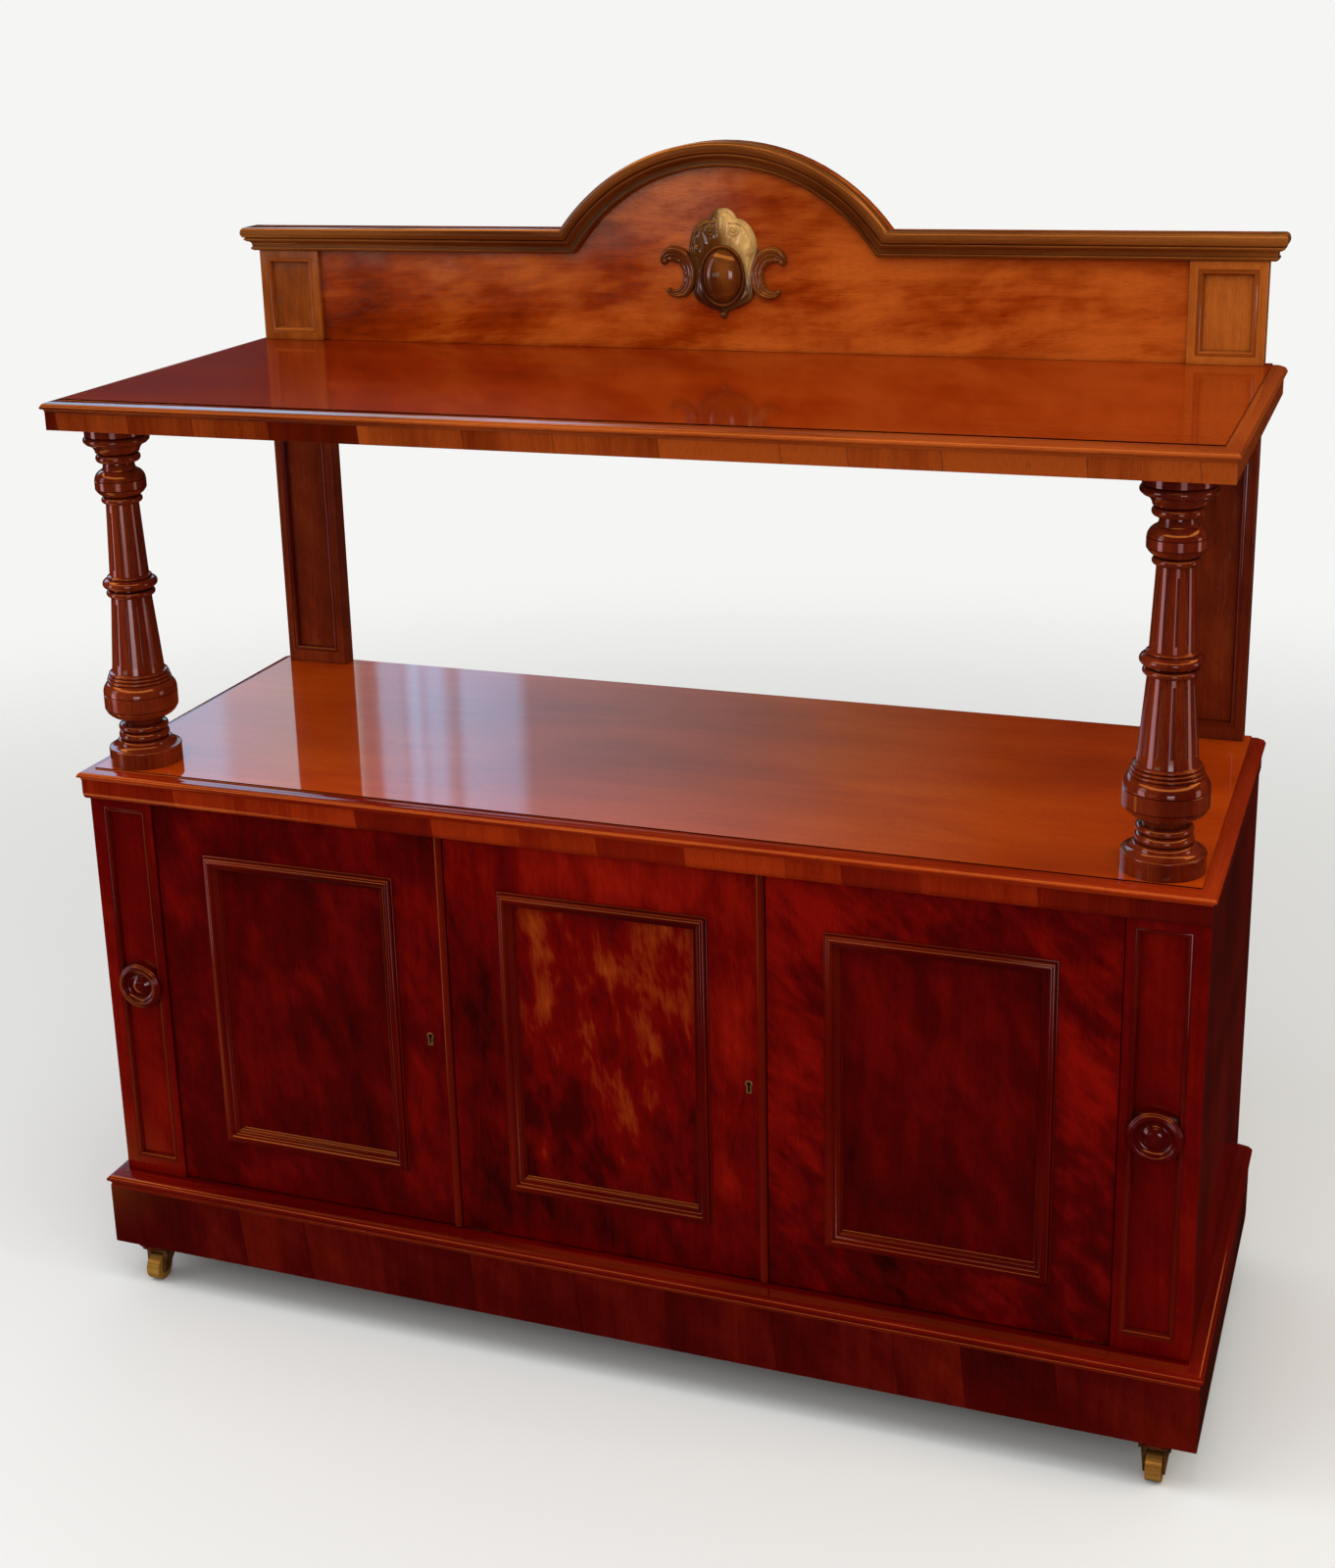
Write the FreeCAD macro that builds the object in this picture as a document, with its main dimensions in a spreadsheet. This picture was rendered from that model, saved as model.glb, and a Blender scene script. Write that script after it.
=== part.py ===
import FreeCAD, Part
import Sketcher
import math
import os

# Sideboard: three-door cupboard on casters, two fluted columns, upper shelf and arched gallery.
# Millimetres. X runs along the front, Y from front to back, Z up; the origin is on the floor under the middle.

SIZES = {
    "top_width": 1524, "overall_depth": 592, "caster_height": 65, "plinth_height": 110,
    "counter_height": 796, "shelf_height": 1307, "gallery_height": 169,
    "arch_radius": 297, "arch_rise": 120,
    # steps between the planes of the front and the ends
    "top_setback": 10, "frieze_setback": 6, "carcass_setback": 19, "door_setback": 4, "shelf_setback": 5,
    "thumb_reach": 20, "carcass_inset": 7, "frieze_inset": 5, "plinth_reach": 21, "plinth_board_step": 4,
    # board thicknesses
    "floor_thickness": 20, "side_thickness": 20, "plinth_thickness": 22, "door_thickness": 22,
    "top_thickness": 15, "frieze_height": 30, "frieze_thickness": 40, "frieze_cove": 11,
    "shelf_thickness": 16, "shelf_depth": 40, "shelf_rail": 60, "soffit_thickness": 10,
    "panel_thickness": 7, "back_thickness": 20, "back_rail": 60, "inner_shelf_thickness": 18,
    "inner_shelf_setback": 52, "stop_depth": 20, "stop_height": 18, "stop_gap": 0.5, "stop_inset": 60,
    # pilasters and doors
    "pilaster_width": 96, "recess_inner_margin": 10, "recess_outer_margin": 19, "recess_top_margin": 12,
    "recess_bottom_margin": 22, "recess_depth": 7, "bead_width": 8, "roundel_height": 473, "roundel_depth": 15,
    "edge_gap": 1.5, "moulding_side_margin": 76, "moulding_top_margin": 66, "moulding_bottom_margin": 71,
    "moulding_lap": 10, "moulding_reach": 12, "moulding_proud": 8, "panel_setback": 6, "closing_bead": 11,
    # pivot hinges
    "pivot_inset": 14, "pivot_depth": 5, "pivot_pin": 5, "pivot_clearance": 0.05, "plate_length": 38,
    "plate_width": 8, "plate_thickness": 2, "plate_end": 6, "pin_length": 3.3,
    # locks and bolts
    "partition_setback": 7, "lock_height": 460, "lock_case_height": 60, "lock_case_depth": 15,
    "left_key_margin": 32, "centre_key_margin": 23, "lock_tail": 20, "lock_bolt_height": 14, "lock_bolt_depth": 5,
    "lock_slack": 0.2, "lock_gap": 2, "lock_throw": 8, "mortise_slack": 0.5, "centre_case_depth": 12, "lock_wall": 4,
    "keyhole_radius": 2.6, "keyhole_tail": 11, "escutcheon_margin": 2.4, "escutcheon_thickness": 1,
    "door_bolt_length": 75, "door_bolt_width": 10, "door_bolt_depth": 6, "door_bolt_throw": 12, "door_bolt_inset": 30,
    # posts, gallery and cornice
    "post_end_step": 29, "post_width": 98, "post_thickness": 28, "gallery_setback": 8,
    "post_margin": 11, "post_foot_margin": 18, "cornice_drop": 35, "cornice_reach": 23,
    # columns
    "column_inset": 71, "column_radius": 49.5, "flute_depth": 2.6, "flute_count": 12,
    "spigot_radius": 14, "spigot_length": 10,
    # crest
    "crest_lift": 105, "boss_half_width": 28, "boss_half_height": 37, "boss_depth": 20, "rim_width": 5,
    "scroll_radius": 36, "scroll_width": 12, "scroll_depth": 8, "scroll_offset": 63, "scroll_lift": 5, "leaf_depth": 10,
    "leaf_half_width": 48, "leaf_height": 94, "pendant_drop": 58, "pendant_depth": 8,
    # casters
    "caster_inset": 41, "caster_side_inset": 52, "pad_height": 14, "pad_radius": 34, "pad_neck": 24,
    "caster_plate_half": 20, "caster_plate_thickness": 4, "stem_radius": 4, "stem_head_half": 6.5,
    "stem_head_height": 2.4, "crown_thickness": 4.8, "fork_gap": 0.2, "fork_half_top": 18, "fork_half_foot": 13.6,
    "fork_slot": 10.4, "fork_half_depth": 14, "fork_ear": 7, "caster_trail": 11, "wheel_radius": 19,
    "wheel_half_width": 10, "axle_radius": 3,
}

# Turned column: share of its height, share of its base radius.
COLUMN_SHARES = (
    (0.000, 1.000), (0.049, 1.000), (0.071, 0.640), (0.115, 0.560), (0.160, 1.005), (0.221, 1.010), (0.262, 0.800),
    (0.280, 0.730), (0.501, 0.552), (0.510, 0.655), (0.526, 0.600), (0.540, 0.707), (0.563, 0.540), (0.773, 0.444),
    (0.790, 0.490), (0.815, 0.680), (0.845, 0.690), (0.882, 0.414), (0.908, 0.575), (0.951, 0.850), (1.000, 0.850),
)
# Ends of the two fluted drums of the shaft, in height shares, and the share of its pitch that a flute takes.
DRUM_SHARES = ((0.280, 0.501), (0.563, 0.773))
FLUTE_SHARE = 0.24
# Cornice section: share of its projection, share of its height below the top.
CORNICE_SHARES = (
    (0.00, 0.00), (0.86, 0.00), (0.98, 0.12), (0.92, 0.40), (0.76, 0.52), (0.46, 0.84), (0.42, 1.00), (0.00, 1.00),
)
# Thumb moulding of the tops: share of its projection, share of the board thickness below the top.
THUMB_SHARES = (
    (0.00, 0.00), (0.00, 0.12), (0.30, 0.12), (0.74, 0.24), (1.00, 0.52), (0.96, 0.80), (0.78, 1.00), (0.00, 1.00),
)
# Plinth moulding: share of its projection, share of its height below the cupboard floor.
PLINTH_SHARES = (
    (0.00, 0.00), (0.62, 0.06), (0.92, 0.26), (1.00, 0.52), (0.86, 0.80), (0.80, 1.00), (0.00, 1.00),
)
# Roundel: share of its radius, share of its depth.
ROUNDEL_SHARES = (
    (1.00, 0.00), (1.00, 0.66), (0.86, 1.00), (0.68, 0.72), (0.42, 0.54), (0.00, 0.72), (0.00, 0.00),
)
# Crest leaf and pendant: shares of their half width and height, from the top down the left side.
CREST_LEAF_SHARES = (
    (0.00, 1.00), (-0.32, 0.94), (-0.44, 0.83), (-0.67, 0.78), (-0.87, 0.66), (-0.98, 0.50), (-1.00, 0.38), (-0.92, 0.26),
    (-0.74, -0.08), (0.74, -0.08), (0.92, 0.26), (1.00, 0.38), (0.98, 0.50), (0.87, 0.66), (0.67, 0.78), (0.44, 0.83),
    (0.32, 0.94),
)
PENDANT_SHARES = (
    (-1.20, 0.16), (1.20, 0.16), (1.10, 0.44), (0.56, 0.76), (0.22, 0.86), (0.18, 1.00), (-0.18, 1.00), (-0.22, 0.86),
    (-0.56, 0.76), (-1.10, 0.44),
)
OVAL_SHARE = 0.7071
BOSS_RIM_SHARE = 0.35
BOSS_SLOPE_SHARES = (0.45, 0.70)
TOUCH = 0.001
SCROLL_TIP_SHARE = 0.6
SCROLL_BOWS = (-0.60, 0.42)
ARCH_SWEEP = 150
FULL_TURN = 360


class Size:
    """A length: its value now and the expression that ties the geometry to the sheet."""

    def __init__(self, value, text):
        self.value = float(value)
        self.text = text

    def __add__(self, other):
        other = as_size(other)
        return Size(self.value + other.value, "(%s + %s)" % (self.text, other.text))

    def __sub__(self, other):
        other = as_size(other)
        return Size(self.value - other.value, "(%s - %s)" % (self.text, other.text))

    def __mul__(self, other):
        other = as_size(other)
        return Size(self.value * other.value, "(%s * %s)" % (self.text, other.text))

    def __truediv__(self, other):
        other = as_size(other)
        return Size(self.value / other.value, "(%s / %s)" % (self.text, other.text))

    def __neg__(self):
        return Size(-self.value, "(0 - %s)" % self.text)

    def root(self):
        return Size(math.sqrt(self.value), "sqrt(%s)" % self.text)


def as_size(number):
    return number if isinstance(number, Size) else Size(number, "%.6g" % number)


class Sheet:
    """The spreadsheet of driving dimensions; each alias is read as an attribute."""

    def __init__(self, document, sizes):
        self.values = sizes
        cells = document.addObject("Spreadsheet::Sheet", "Sizes")
        for row, (alias, value) in enumerate(sizes.items(), start=1):
            cells.set("A%d" % row, alias)
            cells.set("B%d" % row, str(value))
            cells.setAlias("B%d" % row, alias)

    def __getattr__(self, alias):
        return Size(self.values[alias], "Sizes." + alias)


document = FreeCAD.newDocument("Sideboard")
s = Sheet(document, SIZES)
document.recompute()
ZERO = as_size(0)

# Planes worked out from the sizes
half_top = s.top_width / 2
half_carcass = half_top - s.carcass_inset
half_nose = half_carcass + s.plinth_reach
half_plinth = half_nose - s.plinth_board_step
half_frieze = half_top - s.frieze_inset
post_outer = half_top - s.post_end_step
half_inside = half_carcass - s.side_thickness
half_doors = half_carcass - s.pilaster_width
back = s.overall_depth / 2
top_front = s.top_setback - back
frieze_front = top_front + s.frieze_setback
frieze_back = frieze_front + s.frieze_thickness
pilaster_front = top_front + s.carcass_setback
door_front = pilaster_front + s.door_setback
door_back = door_front + s.door_thickness
plinth_face = s.plinth_board_step - back
partition_front = door_back + s.partition_setback
back_front = back - s.back_thickness
floor_top = s.caster_height + s.plinth_height
floor_under = floor_top - s.floor_thickness
counter = s.counter_height
counter_under = counter - s.top_thickness
frieze_under = counter_under - s.frieze_height
shelf_front = top_front + s.shelf_setback
shelf_edge_under = s.shelf_height - s.shelf_thickness
shelf_under = s.shelf_height - s.shelf_depth
cornice_top = s.shelf_height + s.gallery_height
cornice_under = cornice_top - s.cornice_drop
crest_centre = s.shelf_height + s.crest_lift
post_front = back - s.post_thickness
gallery_front = post_front + s.gallery_setback
post_inner = post_outer - s.post_width
apex = cornice_top + s.arch_rise
arch_centre = apex - s.arch_radius
mitre_out = (s.arch_radius * s.arch_radius - (cornice_top - arch_centre) * (cornice_top - arch_centre)).root()
inner_radius = s.arch_radius - s.cornice_drop
mitre_in = (inner_radius * inner_radius - (cornice_under - arch_centre) * (cornice_under - arch_centre)).root()
column_x = half_top - s.column_inset
column_y = top_front + s.column_inset
column_height = shelf_under - counter
door_third = half_doors * 2 / 3
pad_under = s.caster_height - s.pad_height

PIECES = {}


def keep(name, shape_object):
    shape_object.Label = name
    PIECES[name] = shape_object
    return shape_object


def bind(thing, place, size):
    thing.setExpression(place, size.text)


def box(name, low, high):
    block = document.addObject("Part::Box", name)
    for axis, side, start, end in zip("xyz", ("Length", "Width", "Height"), low, high):
        bind(block, side, end - start)
        bind(block, "Placement.Base." + axis, start)
    return block


def rod(name, radius, low, high, where, axis="z"):
    """Cylinder from low to high along an axis, through the point where=(first, second other coordinate)."""
    pin = document.addObject("Part::Cylinder", name)
    bind(pin, "Radius", radius)
    bind(pin, "Height", high - low)
    turns = {"z": (0, 0, 1, 0), "x": (0, 1, 0, 90), "y": (1, 0, 0, -90)}
    ax, ay, az, angle = turns[axis]
    pin.Placement = FreeCAD.Placement(FreeCAD.Vector(), FreeCAD.Rotation(FreeCAD.Vector(ax, ay, az), angle))
    bind(pin, "Placement.Base." + axis, low)
    for other, value in zip([letter for letter in "xyz" if letter != axis], where):
        bind(pin, "Placement.Base." + other, value)
    return pin


def joined(name, parts):
    fused = document.addObject("Part::MultiFuse", name)
    fused.Shapes = parts
    return fused


def together(name, parts):
    """Separate solids that share one node."""
    group = document.addObject("Part::Compound", name)
    group.Links = parts
    return group


def cut(name, base, tools):
    tool = tools[0] if len(tools) == 1 else together(name + "_tools", tools)
    result = document.addObject("Part::Cut", name)
    result.Base = base
    result.Tool = tool
    return result


def common(name, first, second):
    result = document.addObject("Part::Common", name)
    result.Base = first
    result.Tool = second
    return result


def mirrored(name, source, normal=(1, 0, 0)):
    twin = document.addObject("Part::Mirroring", name)
    twin.Source = source
    twin.Normal = FreeCAD.Vector(*normal)
    return twin


def origin_plane(body, role):
    return [feature for feature in body.Origin.OriginFeatures if feature.Role == role][0]


def new_sketch(body, name, plane, offset=None):
    sketch = body.newObject("Sketcher::SketchObject", name)
    sketch.AttachmentSupport = [(origin_plane(body, plane), "")]
    sketch.MapMode = "FlatFace"
    if offset is not None:
        bind(sketch, "AttachmentOffset.Base.z", offset)
    return sketch


def bow_radius(start, end, bow):
    across = end[0] - start[0]
    up = end[1] - start[1]
    chord = (across * across + up * up).root()
    height = as_size(bow)
    height = -height if height.value < 0 else height
    return chord * (as_size(0.125) / height + height / 2)


def bow_arc(start, end, bow):
    """Arc from start to end; a positive bow bulges to the left of that direction."""
    first = FreeCAD.Vector(start[0].value, start[1].value, 0)
    last = FreeCAD.Vector(end[0].value, end[1].value, 0)
    share = as_size(bow).value
    chord = last - first
    left = FreeCAD.Vector(-chord.y, chord.x, 0).normalize()
    rise = share * chord.Length
    radius = bow_radius(start, end, bow).value
    side = 1 if share > 0 else -1
    centre = (first + last) * 0.5 + left * (rise - side * radius)
    ends = (last, first) if share > 0 else (first, last)
    angles = [math.atan2(point.y - centre.y, point.x - centre.x) for point in ends]
    circle = Part.Circle(centre, FreeCAD.Vector(0, 0, 1), radius)
    return Part.ArcOfCircle(circle, angles[0], angles[1]), ((2, 1) if share > 0 else (1, 2))


def draw(sketch, corners, closed=True):
    """Outline through corners (across, up, bow); the bow shapes the edge that follows the corner."""
    count = len(corners)
    edges = []
    for index in range(count if closed else count - 1):
        start = corners[index]
        end = corners[(index + 1) % count]
        bow = start[2] if len(start) > 2 else 0
        if as_size(bow).value:
            curve, order = bow_arc(start, end, bow)
        else:
            points = [FreeCAD.Vector(point[0].value, point[1].value, 0) for point in (start, end)]
            curve, order = Part.LineSegment(points[0], points[1]), (1, 2)
        number = sketch.addGeometry(curve, False)
        edges.append((number, order, bow, start, end))
    for index, (number, order, bow, start, end) in enumerate(edges):
        pin_corner(sketch, number, order[0], start)
        if index + 1 < len(edges) or closed:
            following = edges[(index + 1) % len(edges)]
            sketch.addConstraint(Sketcher.Constraint("Coincident", number, order[1], following[0], following[1][0]))
        else:
            pin_corner(sketch, number, order[1], end)
        if as_size(bow).value:
            radius = bow_radius(start, end, bow)
            held = sketch.addConstraint(Sketcher.Constraint("Radius", number, radius.value))
            bind(sketch, "Constraints[%d]" % held, radius)


def pin_corner(sketch, number, end, corner):
    for kind, size in zip(("DistanceX", "DistanceY"), corner):
        held = sketch.addConstraint(Sketcher.Constraint(kind, -1, 1, number, end, size.value))
        bind(sketch, "Constraints[%d]" % held, size)


def rectangle(left, right, low, high):
    return [(left, low), (right, low), (right, high), (left, high)]


def bar(name, axis, corners, start, end, holes=()):
    """Straight piece: a section drawn across the axis and run from start to end."""
    plane, flip = {"x": ("YZ_Plane", False), "y": ("XZ_Plane", True), "z": ("XY_Plane", False)}[axis]
    body = document.addObject("PartDesign::Body", name)
    section = new_sketch(body, name + "_section", plane, -start if flip else start)
    draw(section, corners)
    for hole in holes:
        draw(section, hole)
    run = body.newObject("PartDesign::Pad", name + "_run")
    run.Profile = section
    bind(run, "Length", end - start)
    run.Reversed = flip
    body.Tip = run
    return body


def turned(name, corners, place):
    """Turned piece: half section of (radius, height, bow) spun about the upright through place."""
    body = document.addObject("PartDesign::Body", name)
    section = new_sketch(body, name + "_section", "XZ_Plane")
    draw(section, corners)
    spin = body.newObject("PartDesign::Revolution", name + "_spin")
    spin.Profile = section
    spin.ReferenceAxis = (section, ["V_Axis"])
    spin.Angle = FULL_TURN
    body.Tip = spin
    for axis, size in zip("xyz", place):
        bind(body, "Placement.Base." + axis, size)
    return body


def edging(name, half, front, section):
    """Moulding mitred round the front and both ends; the section is (outward, height)."""
    body = document.addObject("PartDesign::Body", name)
    path = new_sketch(body, name + "_path", "XY_Plane")
    draw(path, [(-half, back), (-half, front), (half, front), (half, back)], closed=False)
    profile = new_sketch(body, name + "_section", "XZ_Plane", -back)
    draw(profile, [(-half - outward, height) for outward, height in section])
    run = body.newObject("PartDesign::AdditivePipe", name + "_run")
    run.Profile = (profile, [""])
    run.Spine = (path, [""])
    run.Transition = "Right corner"
    body.Tip = run
    return body


def ring(name, left, right, low, high, section):
    """Moulding mitred round a rectangle in an upright plane; the section is (depth, inward)."""
    body = document.addObject("PartDesign::Body", name)
    middle = (left + right) / 2
    path = new_sketch(body, name + "_path", "XZ_Plane")
    draw(path, [(middle, low), (right, low), (right, high), (left, high), (left, low)])
    profile = new_sketch(body, name + "_section", "YZ_Plane", middle)
    draw(profile, [(depth, low + inward) for depth, inward in section])
    run = body.newObject("PartDesign::AdditivePipe", name + "_run")
    run.Profile = (profile, [""])
    run.Spine = (path, [""])
    run.Transition = "Right corner"
    body.Tip = run
    return body


def make_plinth():
    """Plinth boards, glued corner blocks and the moulding on top."""
    base = s.caster_height
    inner = half_plinth - s.plinth_thickness
    behind = plinth_face + s.plinth_thickness
    keep("plinth_front", box("plinth_front", (-half_plinth, plinth_face, base), (half_plinth, behind, floor_under)))
    boards = [box("plinth_back_board", (-half_plinth, back - s.plinth_thickness, base), (half_plinth, back, floor_under))]
    block = s.shelf_rail
    for name, end_low, end_high, inside_low, inside_high in (
            ("left", -half_plinth, -inner, -inner, block - inner),
            ("right", inner, half_plinth, inner - block, inner)):
        rear = back - s.plinth_thickness
        boards.append(box("plinth_%s_board" % name, (end_low, behind, base), (end_high, rear, floor_under)))
        boards.append(box("block_front_" + name, (inside_low, behind, base), (inside_high, behind + block, floor_under)))
        boards.append(box("block_back_" + name, (inside_low, rear - block, base), (inside_high, rear, floor_under)))
    keep("plinth_frame", together("plinth_frame", boards))
    section = [(s.plinth_reach * out, floor_top - s.floor_thickness * down) for out, down in PLINTH_SHARES]
    keep("plinth_moulding", edging("plinth_moulding", half_carcass, s.plinth_reach - back, section))


def make_floor():
    """Cupboard floor with recesses for the lower pivot plates and a hole for the bottom bolt."""
    floor = box("floor_blank", (-half_carcass, s.plinth_reach - back, floor_under), (half_carcass, back, floor_top))
    tools = [plate_box("floor_recess_%d" % number, edge, side, floor_top - s.plate_thickness, floor_top)
             for number, (edge, side) in enumerate(pivot_edges(), start=1)]
    hole_low = floor_top - s.door_bolt_throw - s.stop_gap
    tools.append(box("floor_bolt_hole", bolt_corner(hole_low, -s.mortise_slack),
                     bolt_far_corner(floor_top, s.mortise_slack)))
    keep("bottom_board", cut("bottom_board", floor, tools))


def door_edges(number):
    """Left and right edges of door 0, 1 or 2."""
    left = door_third * number - half_doors
    right = left + door_third
    left = left + (s.edge_gap if number == 0 else s.edge_gap / 2)
    right = right - (s.edge_gap if number == 2 else s.edge_gap / 2)
    return left, right


def pivot_edges():
    """Hinge edge of each door, and the direction from it towards the door's middle."""
    return ((door_edges(0)[0], 1), (door_edges(1)[0], 1), (door_edges(2)[1], -1))


def plate_box(name, edge, side, low, high):
    near = edge + s.plate_end * side
    far = near + s.plate_length * side
    first, second = (near, far) if side > 0 else (far, near)
    front = door_front + s.pivot_depth - s.plate_width / 2
    return box(name, (first, front, low), (second, front + s.plate_width, high))


def pivot_point(edge, side):
    return edge + s.pivot_inset * side, door_front + s.pivot_depth


def bolt_corner(low, grow):
    edge = door_edges(2)[0] + s.door_bolt_inset
    return edge + grow, door_back - s.door_bolt_depth + grow, low


def bolt_far_corner(high, grow):
    edge = door_edges(2)[0] + s.door_bolt_inset
    return edge + s.door_bolt_width + grow, door_back + grow, high


def make_carcass():
    """Ends, partition, back and inner shelves."""
    side = box("side_left", (-half_carcass, pilaster_front + s.door_thickness, floor_top), (-half_inside, back, frieze_under))
    keep("side_panels", together("side_panels", [side, mirrored("side_right", side)]))
    middle = door_third - half_doors
    thick = s.side_thickness / 2
    blank = box("partition_blank", (middle - thick, partition_front, floor_top), (middle + thick, back_front, frieze_under))
    low = s.lock_height - s.lock_bolt_height / 2 - s.mortise_slack
    high = s.lock_height + s.lock_bolt_height / 2 + s.mortise_slack
    front, rear = lock_bolt_span(door_back + s.lock_case_depth, s.mortise_slack)
    mortise = box("strike_mortise", (middle - thick, front, low), (middle - thick + s.lock_throw, rear, high))
    keep("partition", cut("partition", blank, [mortise]))
    make_back()
    shelves = []
    level = (floor_top + frieze_under) / 2
    front = door_back + s.inner_shelf_setback
    for name, left, right in (("left", -half_inside, middle - thick), ("right", middle + thick, half_inside)):
        shelves.append(box("cupboard_shelf_" + name, (left, front, level - s.inner_shelf_thickness),
                           (right, back_front, level)))
    keep("cupboard_shelves", together("cupboard_shelves", shelves))
    stops = []
    for number in range(3):
        left, right = door_edges(number)
        start = right - s.stop_inset * 3 if number < 2 else left + s.stop_inset
        end = right - s.stop_inset if number < 2 else left + s.stop_inset * 3
        stops.append(box("stop_%d" % number, (start, door_back + s.stop_gap, frieze_under - s.stop_height),
                         (end, door_back + s.stop_depth, frieze_under)))
    keep("stop_rails", together("stop_rails", stops))


def make_back():
    """Framed back with three sunk panels."""
    third = (half_inside * 2 - s.back_rail) / 3
    panels = []
    low = floor_top + s.back_rail
    high = frieze_under - s.back_rail
    rails = [box("back_bottom_rail", (-half_inside, back_front, floor_top), (half_inside, back, low)),
             box("back_top_rail", (-half_inside, back_front, high), (half_inside, back, frieze_under))]
    for number in range(4):
        left = third * number - half_inside
        rails.append(box("back_stile_%d" % number, (left, back_front, low), (left + s.back_rail, back, high)))
    for number in range(3):
        left = s.back_rail - half_inside + third * number
        right = left + third - s.back_rail
        panels.append(box("back_panel_%d" % number, (left, back_front + s.panel_setback, low),
                          (right, back_front + s.panel_setback + s.panel_thickness, high)))
    keep("back_frame", together("back_frame", rails))
    keep("back_panels", together("back_panels", panels))


def lock_bolt_span(case_back, grow):
    middle = case_back - s.lock_case_depth / 2 + s.lock_bolt_depth / 2
    return middle - s.lock_bolt_depth / 2 - grow, middle + s.lock_bolt_depth / 2 + grow


def recess_outline():
    left = -half_carcass + s.recess_outer_margin
    right = -half_doors - s.recess_inner_margin
    return left, right, floor_top + s.recess_bottom_margin, frieze_under - s.recess_top_margin


def recess_bead(name, left, right, low, high, face, depth):
    """Ovolo bead in the angle of a sunk panel."""
    floor = face + depth
    section = [(floor, ZERO), (face, ZERO), (face, s.bead_width / 3), (floor - s.bead_width / 4, s.bead_width),
               (floor, s.bead_width)]
    return ring(name, left, right, low, high, section)


def make_pilasters():
    """Sunk pilasters with a bead round the panel and a turned roundel half-way up."""
    left, right, low, high = recess_outline()
    blank = box("pilaster_blank", (-half_carcass, pilaster_front, floor_top),
                (-half_doors, pilaster_front + s.door_thickness, frieze_under))
    hollow = box("pilaster_recess", (left, pilaster_front, low), (right, pilaster_front + s.recess_depth, high))
    board = cut("pilaster_board", blank, [hollow])
    keep("pilaster_boards", together("pilaster_boards", [board, mirrored("pilaster_board_right", board)]))
    middle = (left + right) / 2
    radius = (right - left) / 2
    bead = recess_bead("pilaster_bead", left, right, low, high, pilaster_front, s.recess_depth)
    sunk = pilaster_front + s.recess_depth
    cleared = cut("pilaster_bead_cleared", bead,
                  [rod("roundel_clearance", radius, pilaster_front - s.recess_depth, sunk, (middle, s.roundel_height), "y")])
    keep("pilaster_beads", together("pilaster_beads", [cleared, mirrored("pilaster_bead_right", cleared)]))
    section = [(radius * out, s.roundel_depth * up) for out, up in ROUNDEL_SHARES]
    roundel = turned("roundel", section, (middle, sunk, s.roundel_height))
    roundel.Placement.Rotation = FreeCAD.Rotation(FreeCAD.Vector(1, 0, 0), 90)
    keep("roundels", together("roundels", [roundel, mirrored("roundel_right", roundel)]))


def make_top():
    """Lower top with a thumb-moulded edge, sockets for the columns, and the coved frieze below it."""
    reach = s.thumb_reach
    field = box("top_field", (reach - half_top, top_front + reach, counter_under), (half_top - reach, back, counter))
    section = [(reach * out, counter - s.top_thickness * down) for out, down in THUMB_SHARES]
    edge = edging("top_edge", half_top - reach, top_front + reach, section)
    sockets = [rod("top_socket_%d" % number, s.spigot_radius, counter - s.spigot_length, counter, (x, column_y))
               for number, x in enumerate((-column_x, column_x))]
    keep("lower_top", cut("lower_top", joined("lower_top_blank", [field, edge]), sockets))
    cove = s.frieze_cove
    face = [(frieze_front, counter_under), (frieze_front, frieze_under + cove, -0.2),
            (frieze_front + cove, frieze_under), (frieze_back, frieze_under), (frieze_back, counter_under)]
    front = bar("frieze_front", "x", face, -half_frieze, half_frieze)
    parts = [front]
    rail = s.frieze_thickness
    for name, low, high in (("left", -half_frieze, rail - half_frieze), ("right", half_frieze - rail, half_frieze)):
        parts.append(box("frieze_" + name, (low, frieze_back, frieze_under), (high, back, counter_under)))
    parts.append(box("frieze_back", (rail - half_frieze, back - rail, frieze_under),
                     (half_frieze - rail, back, counter_under)))
    tools = [plate_box("frieze_recess_%d" % number, pivot, side, frieze_under, frieze_under + s.plate_thickness)
             for number, (pivot, side) in enumerate(pivot_edges(), start=1)]
    hole_high = frieze_under + s.door_bolt_throw + s.stop_gap
    tools.append(box("frieze_bolt_hole", bolt_corner(frieze_under, -s.mortise_slack),
                     bolt_far_corner(hole_high, s.mortise_slack)))
    parts[0] = cut("frieze_front_rail", front, tools)
    keep("top_frieze", together("top_frieze", parts))


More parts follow.
